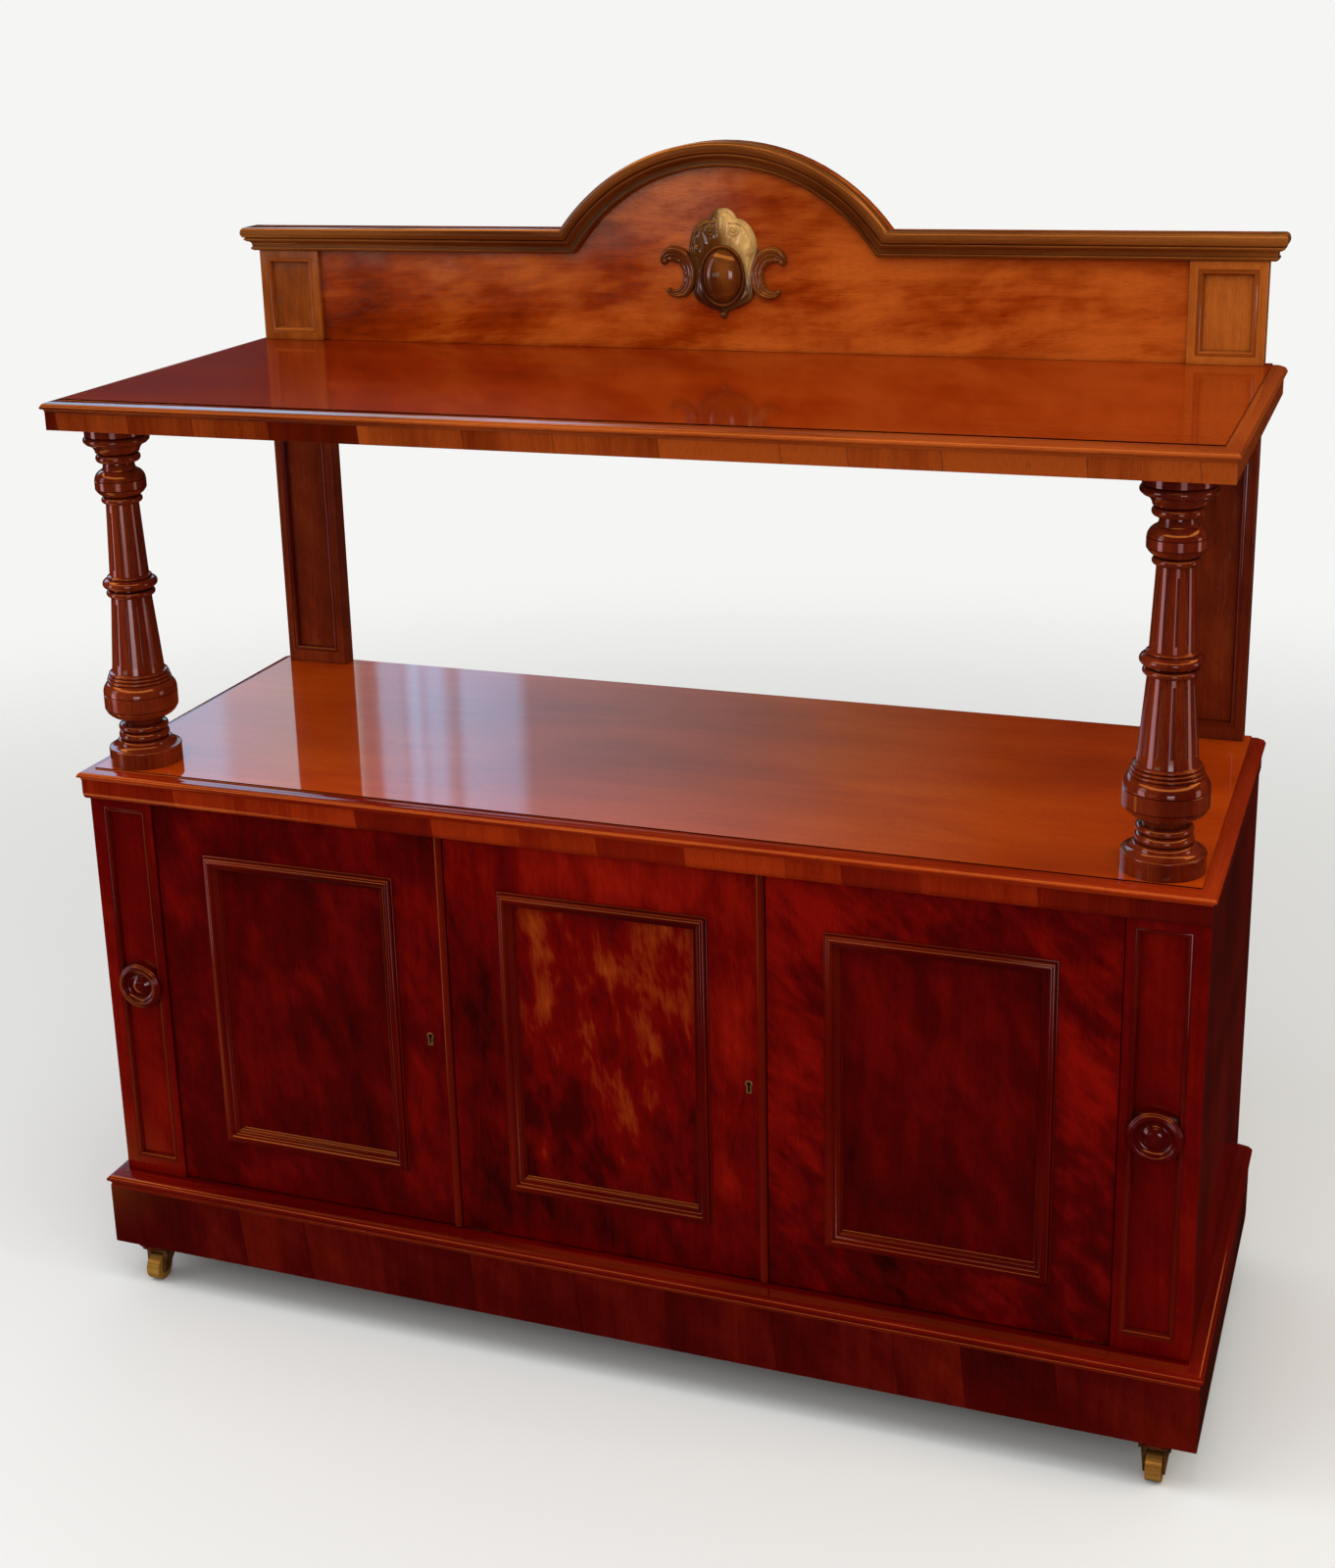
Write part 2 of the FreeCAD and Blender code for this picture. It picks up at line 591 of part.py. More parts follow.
def make_shelf():
    """Upper shelf with the same edge, its frieze rails and the soffit board the columns carry."""
    reach = s.thumb_reach
    field = box("shelf_field", (reach - half_top, shelf_front + reach, shelf_edge_under),
                (half_top - reach, back, s.shelf_height))
    section = [(reach * out, s.shelf_height - s.shelf_thickness * down) for out, down in THUMB_SHARES]
    edge = edging("shelf_edge", half_top - reach, shelf_front + reach, section)
    keep("shelf_board", joined("shelf_board", [field, edge]))
    half = half_top - s.frieze_inset
    front = shelf_front + s.frieze_inset
    rail = s.side_thickness
    rails = []
    for name, left, right, near, far in (("front", -half, half, front, front + rail),
                                         ("back", -half, half, back - rail, back),
                                         ("left", -half, rail - half, front + rail, back - rail),
                                         ("right", half - rail, half, front + rail, back - rail)):
        rails.append(box("shelf_rail_" + name, (left, near, shelf_under), (right, far, shelf_edge_under)))
    keep("shelf_frieze", together("shelf_frieze", rails))
    low = (rail - half, front + rail, shelf_under)
    high = (half - rail, back - rail, shelf_under + s.soffit_thickness)
    sockets = [rod("soffit_socket_%d" % number, s.spigot_radius, shelf_under, shelf_under + s.soffit_thickness, (x, column_y))
               for number, x in enumerate((-column_x, column_x))]
    keep("shelf_soffit", cut("shelf_soffit", box("soffit_blank", low, high), sockets))


def make_posts():
    """Sunk posts behind: tall ones under the shelf, short ones beside the gallery."""
    groups = {"posts": [], "gallery_posts": [], "post_beads": []}
    for group, base, top, foot in (("posts", counter, shelf_under, s.post_foot_margin),
                                   ("gallery_posts", s.shelf_height, cornice_under, s.post_margin)):
        blank = box(group + "_blank", (-post_outer, post_front, base), (-post_inner, back, top))
        left = s.post_margin - post_outer
        right = -post_inner - s.post_margin
        low = base + foot
        high = top - s.post_margin
        hollow = box(group + "_recess", (left, post_front, low), (right, post_front + s.recess_depth, high))
        post = cut(group + "_left", blank, [hollow])
        bead = recess_bead(group + "_bead", left, right, low, high, post_front, s.recess_depth)
        groups[group] += [post, mirrored(group + "_right", post)]
        groups["post_beads"] += [bead, mirrored(group + "_bead_right", bead)]
    for name, parts in groups.items():
        keep(name, together(name, parts))


def make_gallery():
    """Arched gallery board with ears over the short posts."""
    bow = s.arch_rise / (mitre_out * 2)
    outline = [(-post_inner, s.shelf_height), (post_inner, s.shelf_height), (post_inner, cornice_under),
               (post_outer, cornice_under), (post_outer, cornice_top), (mitre_out, cornice_top, -bow),
               (-mitre_out, cornice_top), (-post_outer, cornice_top), (-post_outer, cornice_under),
               (-post_inner, cornice_under)]
    keep("gallery_panel", bar("gallery_panel", "y", outline, gallery_front, back))


def cornice_section(top):
    return [(s.cornice_reach * out, top - s.cornice_drop * down) for out, down in CORNICE_SHARES]


def make_cornice():
    """Straight cornice with returns, mitred into the arched length at the centre."""
    rise = cornice_top - cornice_under
    lean = mitre_out - mitre_in
    low_point = (mitre_in - lean, cornice_under - rise)
    high_point = (mitre_out + lean, cornice_top + rise)
    body = document.addObject("PartDesign::Body", "cornice_run")
    path = new_sketch(body, "cornice_path", "XY_Plane")
    inner = post_outer
    draw(path, [(-inner, back), (-inner, gallery_front), (ZERO, gallery_front)], closed=False)
    profile = new_sketch(body, "cornice_profile", "XZ_Plane", -back)
    draw(profile, [(-inner - out, height) for out, height in cornice_section(cornice_top)])
    run = body.newObject("PartDesign::AdditivePipe", "cornice_sweep")
    run.Profile = (profile, [""])
    run.Spine = (path, [""])
    run.Transition = "Right corner"
    body.Tip = run
    front = gallery_front - s.cornice_reach * 2
    wedge = [(-low_point[0], low_point[1]), (inner, low_point[1]), (inner, high_point[1]), (-high_point[0], high_point[1])]
    trim = bar("cornice_trim", "y", wedge, front, back)
    left = cut("cornice_left", body, [trim])
    keep("cornice_sides", together("cornice_sides", [left, mirrored("cornice_right", left)]))
    arch = document.addObject("PartDesign::Body", "arch_run")
    section = new_sketch(arch, "arch_section", "YZ_Plane")
    draw(section, [(gallery_front - out, height) for out, height in cornice_section(apex)])
    axle = section.addGeometry(Part.LineSegment(
        FreeCAD.Vector(-back.value, arch_centre.value, 0), FreeCAD.Vector(back.value, arch_centre.value, 0)), True)
    pin_corner(section, axle, 1, (-back, arch_centre))
    pin_corner(section, axle, 2, (back, arch_centre))
    spin = arch.newObject("PartDesign::Revolution", "arch_spin")
    spin.Profile = section
    spin.ReferenceAxis = (section, ["Axis0"])
    spin.Midplane = True
    spin.Angle = ARCH_SWEEP
    arch.Tip = spin
    roof = apex + s.cornice_drop
    region = [(-low_point[0], low_point[1]), (low_point[0], low_point[1]), high_point, (high_point[0], roof),
              (-high_point[0], roof), (-high_point[0], high_point[1])]
    keep("cornice_arch", common("cornice_arch", arch, bar("arch_region", "y", region, front, back)))


def make_crest():
    """Carved crest: shell leaf with a pendant, domed oval boss in a raised rim, and two C-scrolls."""
    centre = crest_centre
    half = s.leaf_half_width
    leaf_outline = [(half * out, centre + s.leaf_height * up) for out, up in CREST_LEAF_SHARES]
    leaf = bar("leaf_blank", "y", leaf_outline, gallery_front - s.leaf_depth, gallery_front)
    drop = [(s.boss_half_width * out, centre - s.pendant_drop * down) for out, down in PENDANT_SHARES]
    pendant = bar("pendant", "y", drop, gallery_front - s.pendant_depth, gallery_front)
    rim = oval(s.rim_width)
    clearance = bar("boss_clearance", "y", rim, gallery_front - s.boss_depth, gallery_front)
    keep("crest_leaf", cut("crest_leaf", together("leaf_and_pendant", [leaf, pendant]), [clearance]))
    keep("crest_boss", make_boss(rim))
    scrolls = make_scroll()
    keep("crest_scrolls", together("crest_scrolls", [scrolls, mirrored("scroll_left", scrolls)]))


def oval(grow):
    """Upright oval of four arcs round the boss centre, larger than the boss by grow."""
    across = (s.boss_half_width + grow) * OVAL_SHARE
    up = (s.boss_half_height + grow) * OVAL_SHARE
    end_bow = (s.boss_half_height + grow - up) / (across * 2)
    side_bow = (s.boss_half_width + grow - across) / (up * 2)
    centre = crest_centre
    return [(-across, centre - up, -end_bow), (across, centre - up, -side_bow), (across, centre + up, -end_bow),
            (-across, centre + up, -side_bow)]


def make_boss(rim):
    """Low rim with a taller dome inside it, its crown bevelled."""
    body = document.addObject("PartDesign::Body", "crest_boss")
    front = gallery_front - s.boss_depth
    for name, outline, height in (("rim", rim, s.boss_depth * BOSS_RIM_SHARE), ("dome", oval(ZERO), s.boss_depth)):
        section = new_sketch(body, "boss_%s_section" % name, "XZ_Plane", -gallery_front)
        draw(section, outline)
        lift = body.newObject("PartDesign::Pad", "boss_" + name)
        lift.Profile = section
        bind(lift, "Length", height)
        body.Tip = lift
    document.recompute()
    crown = ["Edge%d" % number for number, edge in enumerate(lift.Shape.Edges, start=1)
             if edge.BoundBox.YMax < front.value + TOUCH]
    slope = body.newObject("PartDesign::Chamfer", "boss_slope")
    slope.Base = (lift, crown)
    slope.ChamferType = "Two distances"
    bind(slope, "Size", s.boss_depth * BOSS_SLOPE_SHARES[0])
    bind(slope, "Size2", s.boss_depth * BOSS_SLOPE_SHARES[1])
    body.Tip = slope
    return body


def make_scroll():
    """C-scroll opening away from the boss: a crescent between an outer and a flatter inner bow."""
    tips = s.scroll_offset + s.scroll_radius * SCROLL_TIP_SHARE
    inner = s.scroll_radius - s.scroll_width
    centre = crest_centre + s.scroll_lift
    outline = [(tips, centre + s.scroll_radius, SCROLL_BOWS[0]), (tips, centre - s.scroll_radius),
               (tips, centre - inner, SCROLL_BOWS[1]), (tips, centre + inner)]
    return bar("scroll_right", "y", outline, gallery_front - s.scroll_depth, gallery_front)


def make_columns():
    """Turned columns: rings and bulbs spun about the axis, two fluted drums between them, spigots at both ends."""
    top = column_height + s.soffit_thickness
    outline = [(ZERO, -s.spigot_length), (s.spigot_radius, -s.spigot_length), (s.spigot_radius, ZERO)]
    for height, radius in COLUMN_SHARES:
        corner = (s.column_radius * radius, column_height * height)
        core = (s.column_radius * radius - s.flute_depth * 2, column_height * height)
        if height in [low for low, high in DRUM_SHARES]:
            outline += [corner, core]
        elif height in [high for low, high in DRUM_SHARES]:
            outline += [core, corner]
        else:
            outline.append(corner)
    outline += [(s.spigot_radius, column_height), (s.spigot_radius, top), (ZERO, top)]
    column = turned("column", outline, (-column_x, column_y, counter))
    for number, drum in enumerate(DRUM_SHARES):
        ends = []
        for spot, height in zip(("foot", "head"), drum):
            section = new_sketch(column, "drum_%d_%s" % (number, spot), "XY_Plane", column_height * height)
            draw(section, fluted_outline(s.column_radius * dict(COLUMN_SHARES)[height]))
            ends.append(section)
        shaft = column.newObject("PartDesign::AdditiveLoft", "drum_%d" % number)
        shaft.Profile = (ends[0], [""])
        shaft.Sections = [(ends[1], [""])]
        shaft.Ruled = True
        column.Tip = shaft
    keep("columns", together("columns", [column, mirrored("column_right", column)]))


def fluted_outline(radius):
    """Section of a drum: flat lands with a groove between each pair."""
    count = int(s.flute_count.value)
    pitch = math.tau / count
    half = pitch * FLUTE_SHARE / 2
    corners = []
    for number in range(count):
        for turn, reach in ((-half, radius), (0, radius - s.flute_depth), (half, radius)):
            angle = pitch * number + turn
            corners.append((reach * math.cos(angle), reach * math.sin(angle)))
    return corners


def make_hinges():
    """Pivot plates let into the floor and the frieze, their pins pointing at the doors."""
    plates = []
    for number, (edge, side) in enumerate(pivot_edges(), start=1):
        where = pivot_point(edge, side)
        radius = s.pivot_pin / 2
        lower = plate_box("floor_plate_%d" % number, edge, side, floor_top - s.plate_thickness, floor_top)
        lower_pin = rod("floor_pin_%d" % number, radius, floor_top, floor_top + s.pin_length, where)
        upper = plate_box("frieze_plate_%d" % number, edge, side, frieze_under, frieze_under + s.plate_thickness)
        upper_pin = rod("frieze_pin_%d" % number, radius, frieze_under - s.pin_length, frieze_under, where)
        plates += [joined("lower_hinge_%d" % number, [lower, lower_pin]), joined("upper_hinge_%d" % number, [upper, upper_pin])]
    keep("carcass_hinge_plates", together("carcass_hinge_plates", plates))


def make_door(name, number):
    """Framed door on pivots: frame, flat panel, bolection moulding, closing bead and pivot plates."""
    left, right = door_edges(number)
    edge, side = pivot_edges()[number]
    low = floor_top + s.edge_gap
    high = frieze_under - s.edge_gap
    margin = s.moulding_side_margin + s.moulding_lap
    in_left, in_right = left + margin, right - margin
    in_low = low + s.moulding_bottom_margin + s.moulding_lap
    in_high = high - s.moulding_top_margin - s.moulding_lap
    where = pivot_point(edge, side)
    tools = []
    plates = []
    for spot, face, start, end in (("lower", low, low, low + s.plate_thickness), ("upper", high, high - s.plate_thickness, high)):
        tools.append(plate_box("%s_%s_recess" % (name, spot), edge, side, start, end))
        plate = plate_box("%s_%s_plate" % (name, spot), edge, side, start, end)
        eye = rod("%s_%s_eye" % (name, spot), s.pivot_pin / 2 + s.pivot_clearance, start, end, where)
        plates.append(cut("%s_%s_hinge" % (name, spot), plate, [eye]))
    keep(name + "_plates", together(name + "_plates", plates))
    frame_parts = make_frame(name, left, right, low, high, in_left, in_right, in_low, in_high, side, tools)
    keep(name + "_frame", together(name + "_frame", frame_parts))
    sunk = door_front + s.panel_setback
    keep(name + "_panel", box(name + "_panel", (in_left, sunk, in_low), (in_right, sunk + s.panel_thickness, in_high)))
    mouldings = [ring(name + "_bolection", in_left, in_right, in_low, in_high, bolection_section())]
    if number < 2:
        start = right - s.closing_bead
        bead = [(start, door_front, -0.42), (right, door_front)]
        mouldings.append(bar(name + "_bead", "z", bead, low, high))
    keep(name + "_mouldings", together(name + "_mouldings", mouldings))
    return left, right, low, high


def bolection_section():
    lap, reach, proud, sunk = s.moulding_lap, s.moulding_reach, s.moulding_proud, s.panel_setback
    face = door_front
    return [(face, ZERO), (face, -lap), (face - proud * 0.4, -lap), (face - proud, lap * -0.4),
            (face - proud, reach * 0.1), (face - proud * 0.2, reach * 0.55), (face + sunk, reach), (face + sunk, ZERO)]


def make_frame(name, left, right, low, high, in_left, in_right, in_low, in_high, side, tools):
    """Two stiles and two rails; the stiles take the pivots, the lock or the bolts."""
    hinge = box(name + "_hinge_stile", (left, door_front, low), (in_left, door_back, high)) if side > 0 else \
        box(name + "_hinge_stile", (in_right, door_front, low), (right, door_back, high))
    lock = box(name + "_lock_stile", (in_right, door_front, low), (right, door_back, high)) if side > 0 else \
        box(name + "_lock_stile", (left, door_front, low), (in_left, door_back, high))
    lock_tools = {"left_door": left_lock_cuts, "centre_door": centre_lock_cuts, "right_door": bolt_cuts}[name]()
    bottom = box(name + "_bottom_rail", (in_left, door_front, low), (in_right, door_back, in_low))
    top = box(name + "_top_rail", (in_left, door_front, in_high), (in_right, door_back, high))
    return [cut(name + "_hinge_side", hinge, tools), cut(name + "_lock_side", lock, lock_tools), bottom, top]


def keyhole(name, x, start, end, grow):
    """Round eye with a straight tail, run through the stile."""
    eye = rod(name + "_eye", s.keyhole_radius + grow, start, end, (x, s.lock_height), "y")
    half = s.keyhole_radius / 2 + grow
    tail = box(name + "_tail", (x - half, start, s.lock_height - s.keyhole_tail - grow), (x + half, end, s.lock_height))
    return [eye, tail]


def left_key():
    return door_edges(0)[1] - s.left_key_margin


def centre_key():
    return door_edges(1)[1] - s.centre_key_margin


def left_lock_cuts():
    return [joined("left_keyway", keyhole("left_keyhole", left_key(), door_front, door_back, ZERO))]


def centre_case(grow):
    x = centre_key()
    half = s.lock_case_height / 2
    return (x - s.lock_tail, door_back - s.centre_case_depth, s.lock_height - half), \
        (x + s.lock_tail - s.lock_wall, door_back, s.lock_height + half)


def centre_lock_cuts():
    low, high = centre_case(ZERO)
    pocket = box("centre_lock_pocket", low, high)
    front, rear = centre_bolt_span(s.mortise_slack)
    half = s.lock_bolt_height / 2 + s.mortise_slack
    slot = box("centre_bolt_slot", (high[0], front, s.lock_height - half), (door_edges(1)[1], rear, s.lock_height + half))
    keyway = joined("centre_keyway", keyhole("centre_keyhole", centre_key(), door_front, door_back - s.centre_case_depth, ZERO))
    return [joined("centre_lock_way", [pocket, slot, keyway])]


def centre_bolt_span(grow):
    middle = door_back - s.centre_case_depth / 2
    return middle - s.lock_bolt_depth / 2 - grow, middle + s.lock_bolt_depth / 2 + grow


def bolt_cuts():
    """Grooves for the two door bolts and the strike mortise for the middle lock."""
    low = floor_top + s.edge_gap
    high = frieze_under - s.edge_gap
    length = s.door_bolt_length + s.door_bolt_throw
    lower = box("lower_groove", bolt_corner(low, ZERO), bolt_far_corner(low + length, ZERO))
    upper = box("upper_groove", bolt_corner(high - length, ZERO), bolt_far_corner(high, ZERO))
    front, rear = centre_bolt_span(s.mortise_slack)
    half = s.lock_bolt_height / 2 + s.mortise_slack
    edge = door_edges(2)[0]
    mortise = box("right_strike", (edge, front, s.lock_height - half), (edge + s.lock_throw, rear, s.lock_height + half))
    return [lower, upper, mortise]


def make_locks():
    """Left lock planted behind its stile, middle lock let into its stile; each bolt slides sideways."""
    x = left_key()
    half = s.lock_case_height / 2
    middle = door_third - half_doors
    end = middle - s.side_thickness / 2 - s.lock_gap
    case = box("left_case", (x - s.lock_tail, door_back, s.lock_height - half), (end, door_back + s.lock_case_depth, s.lock_height + half))
    front, rear = lock_bolt_span(door_back + s.lock_case_depth, ZERO)
    make_lock("left", x, case, end, end, front, rear)
    x = centre_key()
    low, high = centre_case(ZERO)
    case = box("centre_case", low, high)
    front, rear = centre_bolt_span(ZERO)
    make_lock("centre", x, case, high[0], door_edges(1)[1], front, rear)


def make_lock(name, x, case, case_end, tip, front, rear):
    slack = s.lock_slack
    half = s.lock_bolt_height / 2
    start = x - s.lock_tail + s.lock_wall
    slot = box(name + "_lock_slot", (start, front - slack, s.lock_height - half - slack),
               (case_end, rear + slack, s.lock_height + half + slack))
    body = cut(name + "_lock_body", case, [slot])
    face = door_front - s.escutcheon_thickness
    outer = joined(name + "_plate", keyhole(name + "_plate", x, face, door_front, s.escutcheon_margin))
    inner = joined(name + "_opening", keyhole(name + "_opening", x, face, door_front, ZERO))
    keep(name + "_door_lock", together(name + "_door_lock", [body, cut(name + "_escutcheon", outer, [inner])]))
    bolt = box(name + "_lock_bolt", (start + slack, front, s.lock_height - half), (tip, rear, s.lock_height + half))
    keep(name + "_lock_bolt", bolt)


def make_door_bolts():
    """Flush bolts in the free stile of the right door, drawn back at rest."""
    low = floor_top + s.edge_gap
    high = frieze_under - s.edge_gap
    slack = s.lock_slack
    for name, start, end in (("right_bottom_bolt", low, low + s.door_bolt_length),
                             ("right_top_bolt", high - s.door_bolt_length, high)):
        near = bolt_corner(start, ZERO)
        far = bolt_far_corner(end, ZERO)
        bar_box = box(name, (near[0] + slack, near[1] + slack, near[2]), (far[0] - slack, far[1], far[2]))
        keep(name, bar_box)


def caster_places():
    x = half_plinth - s.caster_side_inset
    y = back - s.caster_inset
    return ((-x, -y), (x, -y), (-x, y), (x, y))


def centred(name, place, half, low, high):
    """Square block about an upright through place."""
    x, y = place
    return box(name, (x - half, y - half, low), (x + half, y + half, high))


def make_casters():
    """Turned pads, square plates with their headed stems, forks and barrel wheels at the four corners."""
    pads = []
    plates = []
    plate_under = pad_under - s.caster_plate_thickness
    crown_under = plate_under - s.fork_gap * 2 - s.crown_thickness
    for number, (x, y) in enumerate(caster_places(), start=1):
        pads.append(turned("caster_pad_%d" % number, [
            (ZERO, ZERO), (s.pad_neck, ZERO), (s.pad_radius, s.pad_height), (ZERO, s.pad_height)], (x, y, pad_under)))
        plates.append(joined("caster_plate_%d" % number, [
            centred("stem_plate_%d" % number, (x, y), s.caster_plate_half, plate_under, pad_under),
            rod("stem_%d" % number, s.stem_radius, crown_under, plate_under, (x, y)),
            centred("stem_head_%d" % number, (x, y), s.stem_head_half, crown_under - s.stem_head_height, crown_under)]))
        make_fork(number, x, y, plate_under)
        make_wheel(number, x, y)
    keep("caster_pads", together("caster_pads", pads))
    keep("caster_plates", together("caster_plates", plates))


def make_fork(number, x, y, plate_under):
    """Tapered fork: the front outline crossed with the side outline, bored for the stem, with its axle."""
    name = "caster_fork_%d" % number
    head = plate_under - s.fork_gap
    shoulder = head - s.crown_thickness
    foot = s.wheel_radius - s.fork_ear
    top, low, slot = s.fork_half_top, s.fork_half_foot, s.fork_slot
    front = bar(name + "_front", "y", [
        (x - top, head), (x - low, foot), (x - slot, foot), (x - slot, shoulder), (x + slot, shoulder),
        (x + slot, foot), (x + low, foot), (x + top, head)], y - s.wheel_radius * 2, y + s.wheel_radius * 2)
    half = s.fork_half_depth
    axle = y - s.caster_trail
    ear = s.fork_ear
    side = bar(name + "_side", "x", [
        (y - half, head), (y - half, shoulder), (axle - ear, s.wheel_radius), (axle - ear, foot), (axle + ear, foot),
        (axle + ear, s.wheel_radius), (y + half, shoulder), (y + half, head)], x - top * 2, x + top * 2)
    shell = common(name + "_shell", front, side)
    bored = cut(name + "_bored", shell, [rod(name + "_bore", s.stem_radius + s.pivot_clearance, shoulder, head, (x, y))])
    pin = rod(name + "_axle", s.axle_radius, x - low, x + low, (axle, s.wheel_radius), "x")
    keep(name, joined(name, [bored, pin]))


def make_wheel(number, x, y):
    """Roller wheel with a running bore."""
    name = "caster_wheel_%d" % number
    bore = s.axle_radius + s.pivot_clearance
    half = s.wheel_half_width
    rim = s.wheel_radius
    wheel = turned(name, [(bore, -half), (rim, -half), (rim, half), (bore, half)], (x, y - s.caster_trail, rim))
    wheel.Placement.Rotation = FreeCAD.Rotation(FreeCAD.Vector(0, 1, 0), 90)
    keep(name, wheel)


def write_pieces():
    """Check every feature, then write one file per piece."""
    document.recompute()
    for feature in document.Objects:
        if "Invalid" in feature.State or "Error" in feature.State:
            raise RuntimeError("feature %s is not sound: %s" % (feature.Name, feature.State))
    os.makedirs("parts", exist_ok=True)
    for name, piece in PIECES.items():
        shape = piece.Shape
        if shape.isNull() or not shape.isValid():
            raise RuntimeError("shape of %s is not valid" % name)
        shape.exportStep("parts/%s.step" % name)
    print(len(PIECES), "pieces")


make_plinth()
make_floor()
make_carcass()
make_pilasters()
make_top()
make_shelf()
make_posts()
make_gallery()
make_cornice()
make_crest()
make_columns()
make_hinges()
for door_number, door_name in enumerate(("left_door", "centre_door", "right_door")):
    make_door(door_name, door_number)
make_locks()
make_door_bolts()
make_casters()
write_pieces()
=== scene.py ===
import math

import bmesh
import bpy
from mathutils import Matrix, Vector


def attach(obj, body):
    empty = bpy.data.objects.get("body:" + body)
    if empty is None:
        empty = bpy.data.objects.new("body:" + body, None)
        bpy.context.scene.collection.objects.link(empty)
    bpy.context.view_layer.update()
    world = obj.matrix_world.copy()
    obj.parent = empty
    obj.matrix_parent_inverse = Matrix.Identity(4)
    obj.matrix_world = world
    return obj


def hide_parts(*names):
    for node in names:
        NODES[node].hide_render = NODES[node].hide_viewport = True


# Sideboard with fluted columns, upper shelf and arched gallery.
# Points are written in millimetres in the part's own frame and become metres when a mesh is made.

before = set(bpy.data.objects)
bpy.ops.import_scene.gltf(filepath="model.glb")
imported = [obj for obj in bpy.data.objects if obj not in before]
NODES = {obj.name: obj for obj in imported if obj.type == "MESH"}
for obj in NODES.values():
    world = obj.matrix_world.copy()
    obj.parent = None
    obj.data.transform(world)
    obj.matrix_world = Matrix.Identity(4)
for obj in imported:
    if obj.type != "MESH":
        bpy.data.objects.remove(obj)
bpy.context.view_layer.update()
MM = 0.001
METRE = 1000.0
TOUCHING = 2e-6  # metres: points that are nearer than this are one point
UP = (0, 0, 1)

# Heights shared with the solids
FLOOR_TOP, DOOR_LOW, ROUNDEL_HEIGHT, DOOR_HIGH = 175.0, 176.5, 473.0, 749.5
COUNTER_UNDER, COUNTER = 781.0, 796.0
SHELF_UNDER, SHELF_EDGE_UNDER, SHELF_TOP = 1267.0, 1291.0, 1307.0
CREST, CORNICE_UNDER, CORNICE_TOP = 1412.0, 1441.0, 1476.0
ARCH_RADIUS, ARCH_CENTRE = 297.0, 1299.0

# Depths: front is minus
COUNTER_FRONT, SHELF_FRONT, CARCASS_FRONT, PILASTER_FRONT, DOOR_FRONT = -286.0, -281.0, -275.0, -267.0, -263.0
POST_FRONT, GALLERY_FRONT, BACK = 268.0, 276.0, 296.0
SUNK = 7.0  # depth of the sunk fields in the pilasters and posts

# Widths from the middle
HALF_TOP, HALF_CARCASS, HALF_POSTS, HALF_DOORS = 762.0, 755.0, 733.0, 659.0
POST_FIELD, PILASTER_FIELD, ROUNDEL_X = (646.0, 722.0), (669.0, 736.0), 702.5
COLUMN_X, COLUMN_Y = 691.0, -215.0
CASTER_X, CASTER_Y = 720.0, 255.0

# Sunk fields, from low to high
PILASTER_SPANS = ((197.0, 739.0),)
POST_SPANS = ((COUNTER + 18.0, SHELF_UNDER - 11.0), (SHELF_TOP + 11.0, CORNICE_UNDER - 11.0))

# Doors: each panel's opening from left to right
DOOR_PITCH, STILE, BOTTOM_RAIL, TOP_RAIL = 439.333, 86.0, 81.0, 76.0
DOORS = {}
for number, body in enumerate(("left_door", "centre_door", "right_door")):
    DOORS[body] = (-HALF_DOORS + DOOR_PITCH * number + STILE, -HALF_DOORS + DOOR_PITCH * (number + 1) - STILE)


# Outlines and meshes

def trace(outline, closed=True, turn=0.22):
    """Points along an outline of straight and bowed sides; a positive bow bulges to the left."""
    points = []
    count = len(outline)
    for index in range(count if closed else count - 1):
        u0, v0, bow = (tuple(outline[index]) + (0,))[:3]
        u1, v1 = outline[(index + 1) % count][:2]
        points.append((u0, v0))
        if not bow:
            continue
        across, up = u1 - u0, v1 - v0
        chord = math.hypot(across, up)
        sign = 1 if bow > 0 else -1
        radius = chord * (0.125 / abs(bow) + abs(bow) / 2)
        reach = bow * chord - sign * radius
        cu = (u0 + u1) / 2 - up / chord * reach
        cv = (v0 + v1) / 2 + across / chord * reach
        start = math.atan2(v0 - cv, u0 - cu)
        arc = -4 * math.atan(2 * bow)
        steps = max(2, math.ceil(abs(arc) / turn))
        for step in range(1, steps):
            angle = start + arc * step / steps
            points.append((cu + radius * math.cos(angle), cv + radius * math.sin(angle)))
    if not closed:
        points.append(tuple(outline[-1][:2]))
    return points


def spline(knots, steps):
    """Smooth curve through the knots, which may have any number of coordinates."""
    last = len(knots) - 1
    result = []
    for index in range(last):
        a, b, c, d = (knots[min(max(index + shift, 0), last)] for shift in (-1, 0, 1, 2))
        for step in range(steps):
            t = step / steps
            result.append(tuple(
                0.5 * (2 * q + (r - p) * t + (2 * p - 5 * q + 4 * r - w) * t * t
                       + (3 * q - p - 3 * r + w) * t ** 3)
                for p, q, r, w in zip(a, b, c, d)))
    result.append(tuple(knots[-1]))
    return result


def dome(radius, height, steps):
    """Quarter of an ellipse as (radius, height), from the rim to the crown."""
    angles = [math.pi / 2 * step / steps for step in range(steps + 1)]
    return [(radius * math.cos(angle), height * math.sin(angle)) for angle in angles]


def even(count):
    """Angles evenly round the circle."""
    return [math.tau * index / count for index in range(count)]


def distances(points):
    """Distance of each point from the first, along the line of points."""
    result = [0.0]
    for a, b in zip(points, points[1:]):
        result.append(result[-1] + math.hypot(b[0] - a[0], b[1] - a[1]))
    return result


def placed(name, data):
    """New object in the scene."""
    thing = bpy.data.objects.new(name, data)
    bpy.context.scene.collection.objects.link(thing)
    return thing


